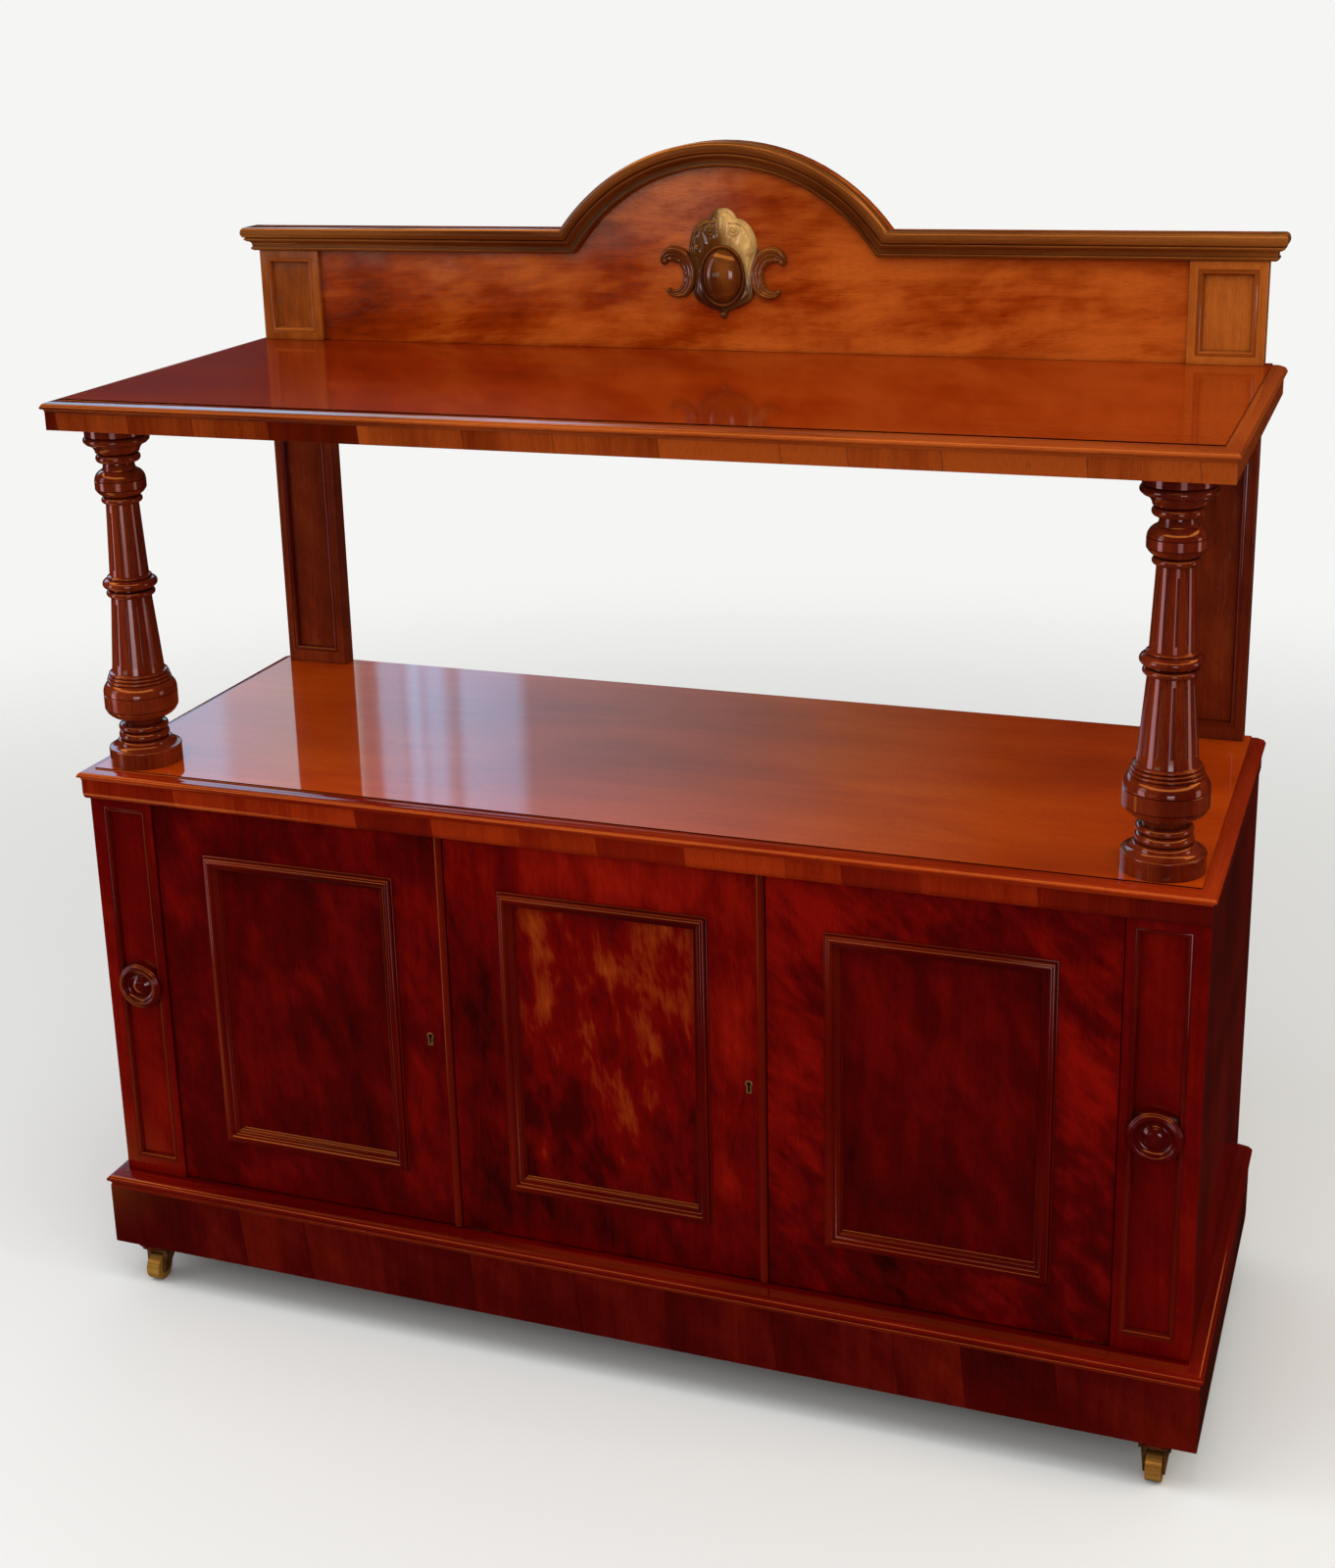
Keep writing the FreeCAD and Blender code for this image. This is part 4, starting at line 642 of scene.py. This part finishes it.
def ring(shape, left, right, low, high, face, section, finish=0):
    """Moulding round an upright opening; the section is (inward, proud) from the face."""
    path = [(left, face, low), (right, face, low), (right, face, high), (left, face, high)]
    outward = [(-inward, proud) for inward, proud in section]
    sweep(shape, path, outward, (0, -1, 0), closed=True, finish=finish)


def build_beads():
    """Ovolo beads in the sunk pilasters and posts."""
    bead = trace((
        (0, 0), (0, 6.9), (1.3, 6.9), (1.5, 6.3, 0.34), (6.3, 2.1), (6.6, 1.5), (7.9, 1.3), (7.9, 0)))
    for name, field, face, spans, finishes in (
            ("pilaster_beads", PILASTER_FIELD, PILASTER_FRONT + SUNK, PILASTER_SPANS, ("dark_beads",)),
            ("post_beads", POST_FIELD, POST_FRONT + SUNK, POST_SPANS, ("beads", "short_beads"))):
        shape = Shape()
        for sign in (-1, 1):
            left, right = sorted(edge * sign for edge in field)
            for finish, (low, high) in enumerate(spans):
                ring(shape, left, right, low, high, face, bead, finish)
        shape.piece(name, finishes)


def build_roundels():
    """Turned roundels: a rolled rim, a quirk, a dished ring and a low button."""
    outline = trace((
        (33.4, 0), (33.4, 8.6, -0.22), (31.6, 12.6, -0.2), (27.6, 14.9, -0.3), (24.0, 12.9), (23.6, 11.4),
        (22.6, 11.2, 0.2), (15.2, 8.2), (14.6, 8.9), (13.8, 9.2, -0.12),
        (0.01, 12.8)), closed=False, turn=0.14)
    face = PILASTER_FRONT + SUNK
    shape = Shape()
    for x in (-ROUNDEL_X, ROUNDEL_X):
        spun(shape, outline, even(72), lambda a, b, c, x=x: (x + a, face - c, ROUNDEL_HEIGHT + b))
    shape.piece("roundels", ["roundels"])


# Outline of a column: radius, height over the counter and bow
COLUMN = (
    (49.5, 0), (49.5, 20.5, -0.3), (47.2, 23.4), (46.2, 23.8, 0.2), (37.6, 31, -0.22), (31.4, 34),
    (30.4, 34.2, -0.35), (30.4, 45.6), (28.4, 46.4), (30.2, 47, -0.42), (29.8, 56), (26, 56.6),
    (26.4, 60.5, 0.12), (37.2, 66.5), (38.2, 67.2, -0.1), (49.2, 78), (49.8, 79), (48.6, 79.8),
    (50, 80.6), (50.1, 99.2), (48.8, 100.1), (50, 101, -0.12), (43.8, 115.6), (41.4, 116.2, -0.5),
    (41.2, 120.8), (40, 121.2, -0.5), (39.8, 125.6), (38.4, 126, -0.5), (37.8, 130.2), (35.8, 130.8),
    (35.2, 134.5), (27.2, 235.8), (28.8, 236.6, -0.45), (29.2, 245.2), (27.8, 246.2), (27.8, 247.4),
    (31.2, 248.2, -0.45), (31.2, 260.8), (28.8, 261.4, -0.4), (28.4, 265.2), (26.4, 266.2), (22, 364.4),
    (22.8, 365.2, -0.5), (23, 374.2), (24.2, 375.2, -0.08), (33.2, 383.4), (34, 384.4), (32.9, 385.1),
    (34.2, 385.9), (34.2, 396.4), (32.9, 397.1), (33.9, 397.9, -0.12), (26.2, 409.4), (23.4, 410.4),
    (21.4, 414.2), (20.8, 419.8), (24.4, 420.6, -0.45), (24.6, 432.4), (24.2, 433.2), (29.2, 434.2, 0.16),
    (40.2, 446), (40, 447, -0.42), (40.2, 456.2), (39.2, 457), (41.4, 458), (41.6, 470.8))
FLUTES = ((143.0, 228.0), (275.0, 354.0))  # lowest and highest point of the flutes on each drum
FLUTE_COUNT, FLUTE_DEPTH, FLUTE_HALF = 12, 2.0, 0.056  # the half width is an angle
ROW_STEP, ROW_OUTSIDE, ROW_MIDDLE = 0.5, 0.4, 6.0  # rows at a flute's ends, beyond them and further in


def flute_depth(height, radius, offset):
    """Depth of a round-ended flute at an angle from its middle line."""
    for low, high in FLUTES:
        if low <= height <= high:
            width = FLUTE_HALF * radius
            end = max(low + width - height, height - high + width, 0.0)
            across = math.hypot(offset * radius, end)
            if across < width:
                return FLUTE_DEPTH * math.sqrt(1 - (across / width) ** 2)
    return 0.0


def column_rows():
    """Heights and radii of the rows of points: the outline, and more for the flutes and their ends."""
    outline = [(height, radius) for radius, height in trace(COLUMN, closed=False, turn=0.16)]
    extra = []
    for low, high in FLUTES:
        for step in range(9):
            extra += [low + step * ROW_STEP, high - step * ROW_STEP]
        extra += [low - ROW_OUTSIDE, high + ROW_OUTSIDE]
        extra += [low + ROW_MIDDLE + (high - low - 2 * ROW_MIDDLE) * step / 10 for step in range(11)]
    rows = list(outline)
    for height in extra:
        for (h0, r0), (h1, r1) in zip(outline, outline[1:]):
            if h0 < height < h1:
                rows.append((height, r0 + (r1 - r0) * (height - h0) / (h1 - h0)))
                break
    return sorted(rows, key=lambda row: row[0])


def build_columns():
    """Turned columns with twelve round-ended flutes on each drum of the shaft."""
    sides = [share * FLUTE_HALF for share in (0.3, 0.6, 0.85, 1.0)] + [0.09, 0.14, 0.2]
    offsets = [-angle for angle in reversed(sides)] + [0.0] + sides
    turns = []
    for flute in range(FLUTE_COUNT):
        turns += [(math.tau * (flute + 0.5) / FLUTE_COUNT + offset, offset) for offset in offsets]
    shape = Shape()
    for x in (-COLUMN_X, COLUMN_X):
        grid = []
        for height, radius in column_rows():
            row = []
            for turn, offset in turns:
                reach = radius - flute_depth(height, radius, offset)
                row.append((x + reach * math.cos(turn), COLUMN_Y + reach * math.sin(turn), COUNTER + height))
            grid.append(row)
        shape.grid(grid, around=True)
    shape.piece("columns", ["columns"], sharp=36.0)


# Doors

BOLECTION = trace((
    (-10, 0), (-10, 1.6, 0.45), (-7.4, 2.3), (-7, 3.4, 0.3), (-3.4, 7.6, 0.2), (1.2, 7.8),
    (1.9, 6.9), (2.3, 6.5, -0.22), (6.8, 1.2), (7.4, 0.5, 0.4), (9.6, -2.4), (10.2, -3, -0.12),
    (12, -6), (0, -6), (0, 0)))
JOINT_GAP, COVER_WIDTH = 0.75, 11.0


def build_door_mouldings():
    """Bolection mouldings round the panels, and the half-round bead that covers each closing joint."""
    for body, (left, right) in DOORS.items():
        shape = Shape()
        ring(shape, left, right, DOOR_LOW + BOTTOM_RAIL, DOOR_HIGH - TOP_RAIL, DOOR_FRONT, BOLECTION)
        if body != "right_door":
            end = right + STILE - JOINT_GAP
            bead = trace(((end - COVER_WIDTH, 0.0, 0.42), (end, 0.0, 0.0)), turn=0.12)
            rows = [[(x, DOOR_FRONT - proud, z) for x, proud in bead] for z in (DOOR_LOW, DOOR_HIGH)]
            shape.grid(rows, around=True, maps=lambda i, j: (i * (DOOR_HIGH - DOOR_LOW) * MM, j * MM))
            for row in rows:
                shape.cap(row)
        shape.piece(body + "_mouldings", ["mouldings"], body)


# Crest

# Right half of the leaf's edge, from its tip to its foot, about the crest's middle
LEAF_EDGE = (
    (0, 93.5), (7.5, 92.5), (13.8, 88.6), (18.6, 83), (21.2, 78.8), (27, 78), (33.5, 74.6),
    (39.8, 68), (44.8, 60), (48.4, 50), (50, 38.5), (48.6, 26), (45.2, 12), (42.6, 0),
    (43, -12), (44.6, -24), (42, -32), (34, -38.4), (24, -43.2), (14, -46.8), (7.6, -49.4),
    (5.2, -52.6), (2.4, -54))
VOLUTES = ((16.5, 63.5, 7.6, 0.4), (38.2, 37.5, 4.6, -0.6))  # middle, reach and first angle of each curl
VEIN = (
    (11, 74.5), (19, 73.4), (27, 71.6), (34.5, 66), (40.2, 57), (43.6, 47), (44.2, 37.5),
    (41.2, 31), (36.6, 31.4))
# Right scroll: its middle line and half width
SCROLL = (
    (87, 14.5, 1.8), (88.4, 19.5, 3.8), (84.8, 25.5, 7.6), (74.5, 29.6, 11.6), (61.5, 26.4, 11.6),
    (52.4, 15, 10.2), (49.4, 2, 9.8), (51.4, -12, 9.6), (59, -22.6, 8.2), (69, -25.6, 5.8),
    (77.4, -24.4, 4.2), (82, -20, 2.6))
# Rim round the boss, as a share of its size and a depth
BOSS_RIM = (
    (1.175, 0.0), (1.175, 5.4), (1.165, 7.0), (1.14, 8.2), (1.105, 8.6), (1.07, 8.0), (1.04, 6.6),
    (1.015, 6.2), (1.0, 6.4))
BOSS_WIDE, BOSS_TALL, BOSS_DOME = 28.0, 36.6, 13.5
LIP_WIDE, LIP_TALL = 32.9, 43.0
LEAF_THIN = 0.8
PENDANT_DROP, PENDANT_WIDE, PENDANT_HIGH = 54.2, 5.2, 6.4
# Balls at a scroll's ends: middle and radius, and height over the board
BALLS, BALL_HIGH = ((85.4, 19.6, 5.0), (80.4, -21.4, 4.0)), 7.2


def clamped(value):
    return min(1.0, max(0.0, value))


def hump(distance, width):
    """1 on a line and fading to both sides of it."""
    return math.exp(-(distance / width) ** 2)


def nearest(point, line):
    """Distance from a point to a line of straight runs."""
    px, pz = point
    best = math.inf
    for (ax, az), (bx, bz) in zip(line, line[1:]):
        dx, dz = bx - ax, bz - az
        share = clamped(((px - ax) * dx + (pz - az) * dz) / (dx * dx + dz * dz))
        best = min(best, math.hypot(px - ax - dx * share, pz - az - dz * share))
    return best


def leaf_depth(x, z, edge, vein):
    """Height of the carved shell over the board: folded ridge, raised volutes and veins, hollowed lobes."""
    inland = nearest((x, z), edge)
    rise = 1.0 - math.exp(-inland / 2.6)
    upper = clamped((z - 20.0) / 25.0)
    depth = 1.2 + 5.6 * rise
    depth += (3.4 - 0.34 * min(x, 10.0)) * upper * rise
    depth -= 2.3 * hump(inland - 6.0, 2.8)
    depth += 3.0 * hump(nearest((x, z), vein), 1.3) * rise
    for curl_x, curl_z, reach, start in VOLUTES:
        away = math.hypot(x - curl_x, z - curl_z)
        if away < reach + 1.5:
            turn = (math.atan2(z - curl_z, x - curl_x) - start) / math.tau % 1.0
            for lap in (0.0, 1.0):
                depth += 2.4 * hump(away - reach * (turn + lap) / 2.0, 1.0)
            depth += 2.6 * hump(away, 2.0)
    fan = math.atan2(x, z + 34.0)
    depth += 0.9 * math.cos(fan * 40.0) * clamped((inland - 3.0) / 6.0) * upper
    egg = math.hypot(x / LIP_WIDE, z / LIP_TALL)
    if egg < 1.5:
        depth = min(depth, 4.2 + max(0.0, egg - 1.02) * 13.0)
    return max(LEAF_THIN, depth)


def build_leaf():
    """Shell leaf with volutes and a pendant bead."""
    edge, vein = spline(LEAF_EDGE, 5), spline(VEIN, 5)
    tip, foot = LEAF_EDGE[0][1], LEAF_EDGE[-1][1]
    columns = 44
    shape = Shape()
    for sign in (-1, 1):
        rows = []
        for index, (edge_x, edge_z) in enumerate(edge):
            spine = tip - (tip - foot) * (index / (len(edge) - 1)) ** 1.15
            row = []
            for step in range(columns + 1):
                share = step / columns
                x, z = edge_x * share, spine + (edge_z - spine) * share
                depth = leaf_depth(x, z, edge, vein) if step < columns else LEAF_THIN
                row.append((sign * x, GALLERY_FRONT - depth, CREST + z))
            row.append((sign * edge_x, GALLERY_FRONT, CREST + edge_z))
            rows.append(row)
        shape.grid(rows)
    pendant = CREST - PENDANT_DROP
    outline = dome(PENDANT_WIDE, PENDANT_HIGH, 8)
    spun(shape, outline, even(28), lambda a, b, c: (a, GALLERY_FRONT - c, pendant + b * 1.1))
    shape.piece("crest_leaf", ["leaf"], sharp=60.0)


def build_boss():
    """Polished oval boss in its lip."""
    outline = list(BOSS_RIM)
    for step in range(1, 21):
        angle = math.pi / 2 * step / 20
        outline.append((math.cos(angle) ** 0.8 if step < 20 else 0.0,
                        BOSS_RIM[-1][1] + BOSS_DOME * math.sin(angle) ** 1.15))
    rows = []
    for share, depth in outline:
        wide, tall = BOSS_WIDE * share, BOSS_TALL * share
        rows.append([(wide * math.cos(turn), GALLERY_FRONT - depth, CREST + tall * math.sin(turn))
                     for turn in even(72)])
    shape = Shape()
    shape.grid(rows, around=True)
    shape.piece("crest_boss", ["boss"], sharp=50.0)


def scroll_depth(share, half, index):
    """Height of a scroll: a full roll at the back, a hollowed mouth, and two fillets between them."""
    body = 3.4 + half * 0.5 - 0.16 * half * share
    body -= 1.5 * math.exp(-((share - 0.3) * 6.5) ** 2) + 1.0 * math.exp(-((share + 0.18) * 9.0) ** 2)
    body += 0.35 * math.cos(index * 0.9 + share * 2.0) * (1 if share > 0.3 else 0.2)
    return max(0.4, body * math.sqrt(max(0.0, 1 - abs(share) ** 5)))


def build_scrolls():
    """Two stout C-scrolls with a ball at each end."""
    line = spline(SCROLL, 7)
    shape = Shape()
    for sign in (-1, 1):
        rows = []
        for index, (x, z, half) in enumerate(line):
            ahead, behind = line[min(index + 1, len(line) - 1)], line[max(index - 1, 0)]
            run = Vector((ahead[0] - behind[0], ahead[1] - behind[1])).normalized()
            row = []
            for step in range(25):
                share = -1 + 2 * step / 24
                depth = scroll_depth(share, half, index)
                row.append((sign * (x - run.y * half * share), GALLERY_FRONT - depth,
                            CREST + z + run.x * half * share))
            rows.append(row)
        shape.grid(rows)
        shape.cap(rows[0])
        shape.cap(rows[-1])
        for x, z, reach in BALLS:
            spun(shape, dome(reach, BALL_HIGH, 7), even(24),
                 lambda a, b, c, x=x * sign, z=z: (x + a, GALLERY_FRONT - c, CREST + z + b))
    shape.piece("crest_scrolls", ["carved"], sharp=50.0)


# Casters

PAD = trace((
    (0.01, 65), (34, 65), (34, 61.5, 0.45), (33, 58.6), (31.4, 57.8), (31, 56.8, -0.3),
    (25.4, 53), (24.4, 52.4, 0.4), (24, 51), (0.01, 51)), closed=False)


def build_pads():
    """Turned pads between the plinth and the casters."""
    shape = Shape()
    for x in (-CASTER_X, CASTER_X):
        for y in (-CASTER_Y, CASTER_Y):
            spun(shape, PAD, even(48), lambda a, b, c, x=x, y=y: (x + a, y + b, c))
    shape.piece("caster_pads", ["roundels"], sharp=40.0)


# Nodes that keep the solids' shape: finish and width of the eased edges

KEPT = {
    "bottom_board": ("bottom_board", 0.6), "plinth_front": ("plinth", 0.8), "plinth_frame": ("plinth", 0.8),
    "side_panels": ("sides", 0.8), "pilaster_boards": ("pilasters", 0.7), "partition": ("plain", 0.6),
    "stop_rails": ("plain_long", 0.8), "back_frame": ("plain_long", 0.8), "back_panels": ("plain", 0.4),
    "cupboard_shelves": ("plain_long", 0.8), "top_frieze": ("frieze", 0.6), "posts": ("posts", 0.8),
    "shelf_frieze": ("shelf_frieze", 0.7), "shelf_soffit": ("plain_long", 0.5),
    "gallery_panel": ("gallery", 0.6), "gallery_posts": ("short_posts", 0.8),
    "carcass_hinge_plates": ("brass", 0.2), "caster_plates": ("caster", 0.3)}
for side in ("left", "centre", "right"):
    KEPT[side + "_door_panel"] = (side + "_panel", 0.0)
    KEPT[side + "_door_frame"] = (side + "_door", 0.6)
    KEPT[side + "_door_plates"] = ("brass", 0.2)
for side in ("left", "centre"):
    KEPT[side + "_door_lock"] = ("brass", 0.25)
    KEPT[side + "_lock_bolt"] = ("brass", 0.3)
for end in ("top", "bottom"):
    KEPT["right_%s_bolt" % end] = ("brass", 0.3)
for number in range(1, 5):
    KEPT["caster_fork_%d" % number] = ("caster", 0.4)
    KEPT["caster_wheel_%d" % number] = ("roller", 0.0)


def dress_nodes():
    """Finish and eased edges for the solids that stay."""
    for name, (finish, width) in KEPT.items():
        node = NODES[name]
        node.data.materials.clear()
        node.data.materials.append(FINISH[finish])
        if width:
            rounded(node, width)


# Stage, lamps and camera

# Floor: distances in metres, bearings in degrees
FLOOR_RADIUS, FLOOR_SIDES = 9.0, 64
FLOOR_FADE, MIRROR_FADE = (1.6, 4.2), (2.4, 3.0)
WARM_BEARINGS, WARM_FROM = (-124.0, -118.0, -104.0, -96.0), (0.9, 1.3)
DIM_FLOOR_GLOW, WARM_FLOOR_GLOW, PALE_FLOOR = (0.022, 0.006, 0.004), (2.4, 0.75, 0.16), (0.88, 0.9, 0.9)


def build_stage():
    """Pale floor that fades out; in the polish the floor glows dimly, warm on the left, with the room beyond.
    """
    mesh = bpy.data.meshes.new("floor")
    rim = [(FLOOR_RADIUS * math.cos(turn), FLOOR_RADIUS * math.sin(turn), 0.0) for turn in even(FLOOR_SIDES)]
    mesh.from_pydata(rim, [], [tuple(range(FLOOR_SIDES))])
    floor = placed("floor", mesh)
    material = bpy.data.materials.new("pale_floor")
    net = Net(material)
    place = net.node("TexCoord").outputs["Object"]
    x, y, z = net.split(place)
    reach = net.node("VectorMath", {0: place}, operation="LENGTH").outputs["Value"]
    pale = net.node("BsdfDiffuse", {"Color": PALE_FLOOR}).outputs[0]
    clear = net.node("BsdfTransparent").outputs[0]
    # the floor glows for reflected rays only: a dim emission, warmer in a band on the left
    warm = net.times(net.band(net.bearing(x, y), *WARM_BEARINGS), net.ease(reach, *WARM_FROM))
    glow = net.mix(warm, DIM_FLOOR_GLOW, WARM_FLOOR_GLOW)
    dim = net.node("Emission", {"Color": glow, "Strength": 1.0}).outputs[0]
    seen = net.node("MixShader", {0: net.ease(reach, *FLOOR_FADE), 1: pale, 2: clear}).outputs[0]
    mirrored = net.node("MixShader", {0: net.ease(reach, *MIRROR_FADE), 1: dim, 2: clear}).outputs[0]
    glossy = net.node("LightPath").outputs["Is Glossy Ray"]
    both = net.node("MixShader", {0: glossy, 1: seen, 2: mirrored})
    net.node("OutputMaterial", {"Surface": both.outputs[0]})
    mesh.materials.append(material)


# Curtained window: bearing and colour of each fold of light and thin shadow, then the fading wall
WINDOW_FOLDS = (
    (-36, (1.05, 1.7, 2.4)), (-32.3, (1.05, 1.7, 2.3)), (-31.9, (0.98, 1.22, 1.5)),
    (-28.6, (0.98, 1.2, 1.12)), (-28.4, (0.55, 0.42, 0.45)), (-28, (0.55, 0.42, 0.45)),
    (-27.9, (0.92, 1.25, 1.7)), (-27.3, (0.92, 1.25, 1.7)), (-27.2, (0.6, 0.7, 0.9)),
    (-27.1, (1.1, 1.8, 2.6)), (-26.8, (1.1, 1.8, 2.6)), (-26.7, (0.6, 0.7, 0.9)),
    (-26.6, (1.05, 1.7, 2.45)), (-26.2, (1, 1.6, 2.3)), (-26.1, (0.85, 1.1, 1.45)),
    (-25.8, (0.6, 0.75, 0.95)), (-25.7, (1, 1.55, 2.2)), (-24.2, (0.82, 1.3, 1.85)),
    (-23.9, (0.48, 0.64, 0.76)), (-20, (0.34, 0.46, 0.48)), (-15, (0.2, 0.2, 0.12)),
    (-11, (0.07, 0.04, 0.01)), (-9.5, (0.03, 0.02, 0.01)))
WINDOW = ((-75, -62, -9.5, -8.5), (13, 16.5, 26, 31))
RAMP_START, RAMP_SPAN = -40.0, 32.0
# Lights of the dim room: bearings and heights as bands (start, full, fade, end) and the colour; where it
# changes upwards, also the heights of the change and the colour above
ROOM_LIGHTS = (
    ((-162.4, -161.2, -145, -139), (-6.6, -5.4, -2.4, -1), (0.7, 1.15, 0.92)),
    ((-132, -128, -114, -110), (-18.5, -16, 28, 34), (4.4, 2.6, 3), (0, 12),
     (1.8, 1.5, 1.6)),
    ((150, 153, 167, 172), (-17, -14.5, 2, 7), (2.6, 1.5, 1.5), (-9, -5), (5.4, 4.8, 5.2)),
    ((72, 76, 88, 92), (-18.5, -16, 10, 14), (2.6, 1.5, 1.4)),
    ((8, 14, 30, 36), (-42, -34, -24, -18), (0.42, 0.17, 0.04)))
BAR_HEIGHTS, BAR_BEARINGS = (37.0, 39.0, 54.0, 56.0), (20.0, 30.0)
ROOM_LOW, ROOM_HIGH, BAR = (0.018, 0.006, 0.004), (0.06, 0.024, 0.012), (6.6, 2.1, 0.38)
STUDIO_LOW, STUDIO_HIGH, BACKGROUND = (0.4, 0.385, 0.37), (0.66, 0.65, 0.64), (0.915, 0.915, 0.9)


def build_world():
    """Pale background; a soft even studio for diffuse light; a dim room with a tall window for the gloss."""
    world = bpy.data.worlds.new("studio")
    bpy.context.scene.world = world
    net = Net(world)
    rays = net.node("LightPath").outputs
    x, y, z = net.split(net.node("TexCoord").outputs["Generated"])
    bearing = net.bearing(x, y)
    height = net.times(net.math("ARCSINE", z), math.degrees(1.0))
    room = net.mix(net.ease(height, 0.0, 70.0), ROOM_LOW, ROOM_HIGH)
    ahead = net.math("ABSOLUTE", bearing)
    bar = net.times(net.band(height, *BAR_HEIGHTS), net.ease(ahead, *BAR_BEARINGS))
    room = net.mix(bar, room, BAR)
    for bearings, heights, low, *change in ROOM_LIGHTS:
        seen = net.times(net.band(bearing, *bearings), net.band(height, *heights))
        glow = net.mix(net.ease(height, *change[0]), low, change[1]) if change else low
        room = net.mix(seen, room, glow)
    across = net.times(net.math("ADD", bearing, -RAMP_START), 1.0 / RAMP_SPAN)
    folds = net.ramp(across, [((angle - RAMP_START) / RAMP_SPAN, colour) for angle, colour in WINDOW_FOLDS])
    window = net.times(net.band(bearing, *WINDOW[0]), net.band(height, *WINDOW[1]))
    room = net.mix(window, room, folds)
    soft = net.mix(net.ease(z, -0.2, 0.9), STUDIO_LOW, STUDIO_HIGH)
    inner = net.mix(rays["Is Glossy Ray"], soft, room)
    direct = net.math("MAXIMUM", rays["Is Camera Ray"], rays["Is Transmission Ray"])
    back = net.node("Background", {"Color": net.mix(direct, inner, BACKGROUND), "Strength": 1.0})
    net.node("OutputWorld", {"Surface": back.outputs[0]})


def lamp(name, place, aim, size, power, colour=(1.0, 1.0, 1.0)):
    """Rectangular lamp that lights the object but isn't mirrored in it."""
    data = bpy.data.lights.new(name, "AREA")
    data.shape = "RECTANGLE"
    data.size, data.size_y = size
    data.energy = power
    data.color = colour
    thing = placed(name, data)
    thing.visible_glossy = False
    thing.location = place
    thing.rotation_euler = (Vector(aim) - Vector(place)).to_track_quat("-Z", "Y").to_euler()


def build_lamps():
    """Cool light from the left, warm light from the right, and two soft fills; places are in metres."""
    lamp("left_window", (-2.6, -1.2, 2.0), (0.0, 0.0, 0.8), (1.6, 2.0), 20.5, (0.98, 0.98, 1.0))
    lamp("right_lamp", (2.8, -0.2, 2.4), (0.3, 0.0, 0.9), (1.0, 1.4), 26.0, (1.0, 0.9, 0.76))
    lamp("front_fill", (0.9, -3.4, 2.2), (0.0, 0.0, 0.7), (2.4, 1.8), 20.5, (1.0, 0.97, 0.93))
    lamp("top_soft", (0.0, -1.1, 3.2), (0.0, -0.6, 0.4), (2.4, 1.6), 23.5)


def build_camera():
    """Camera in front, right of the middle and above, with a slight roll and a small shift."""
    place = Vector((0.9762, -2.6658, 1.7831))
    pitch, roll, yaw = -0.29361444, -0.03227834, -0.37826351
    ahead = Vector((math.sin(yaw) * math.cos(pitch), math.cos(yaw) * math.cos(pitch), math.sin(pitch)))
    right = Vector((math.cos(yaw), -math.sin(yaw), 0.0))
    up = right.cross(ahead)
    side = right * math.cos(roll) + up * math.sin(roll)
    top = up * math.cos(roll) - right * math.sin(roll)
    data = bpy.data.cameras.new("camera")
    data.sensor_width = 36.0
    data.sensor_fit = "AUTO"
    data.lens = 50.44
    data.shift_x = 0.038
    data.shift_y = -0.075
    data.clip_start = 0.05
    data.clip_end = 60.0
    data.dof.use_dof = False
    camera = placed("camera", data)
    matrix = Matrix((side, top, -ahead)).transposed().to_4x4()
    matrix.translation = place
    camera.matrix_world = matrix
    bpy.context.scene.camera = camera


build_tops()
build_plinth_moulding()
build_cornice()
build_beads()
build_roundels()
build_columns()
build_door_mouldings()
build_leaf()
build_boss()
build_scrolls()
build_pads()
dress_nodes()
build_stage()
build_world()
build_lamps()
build_camera()

scene = bpy.context.scene
scene.view_settings.view_transform = "Standard"
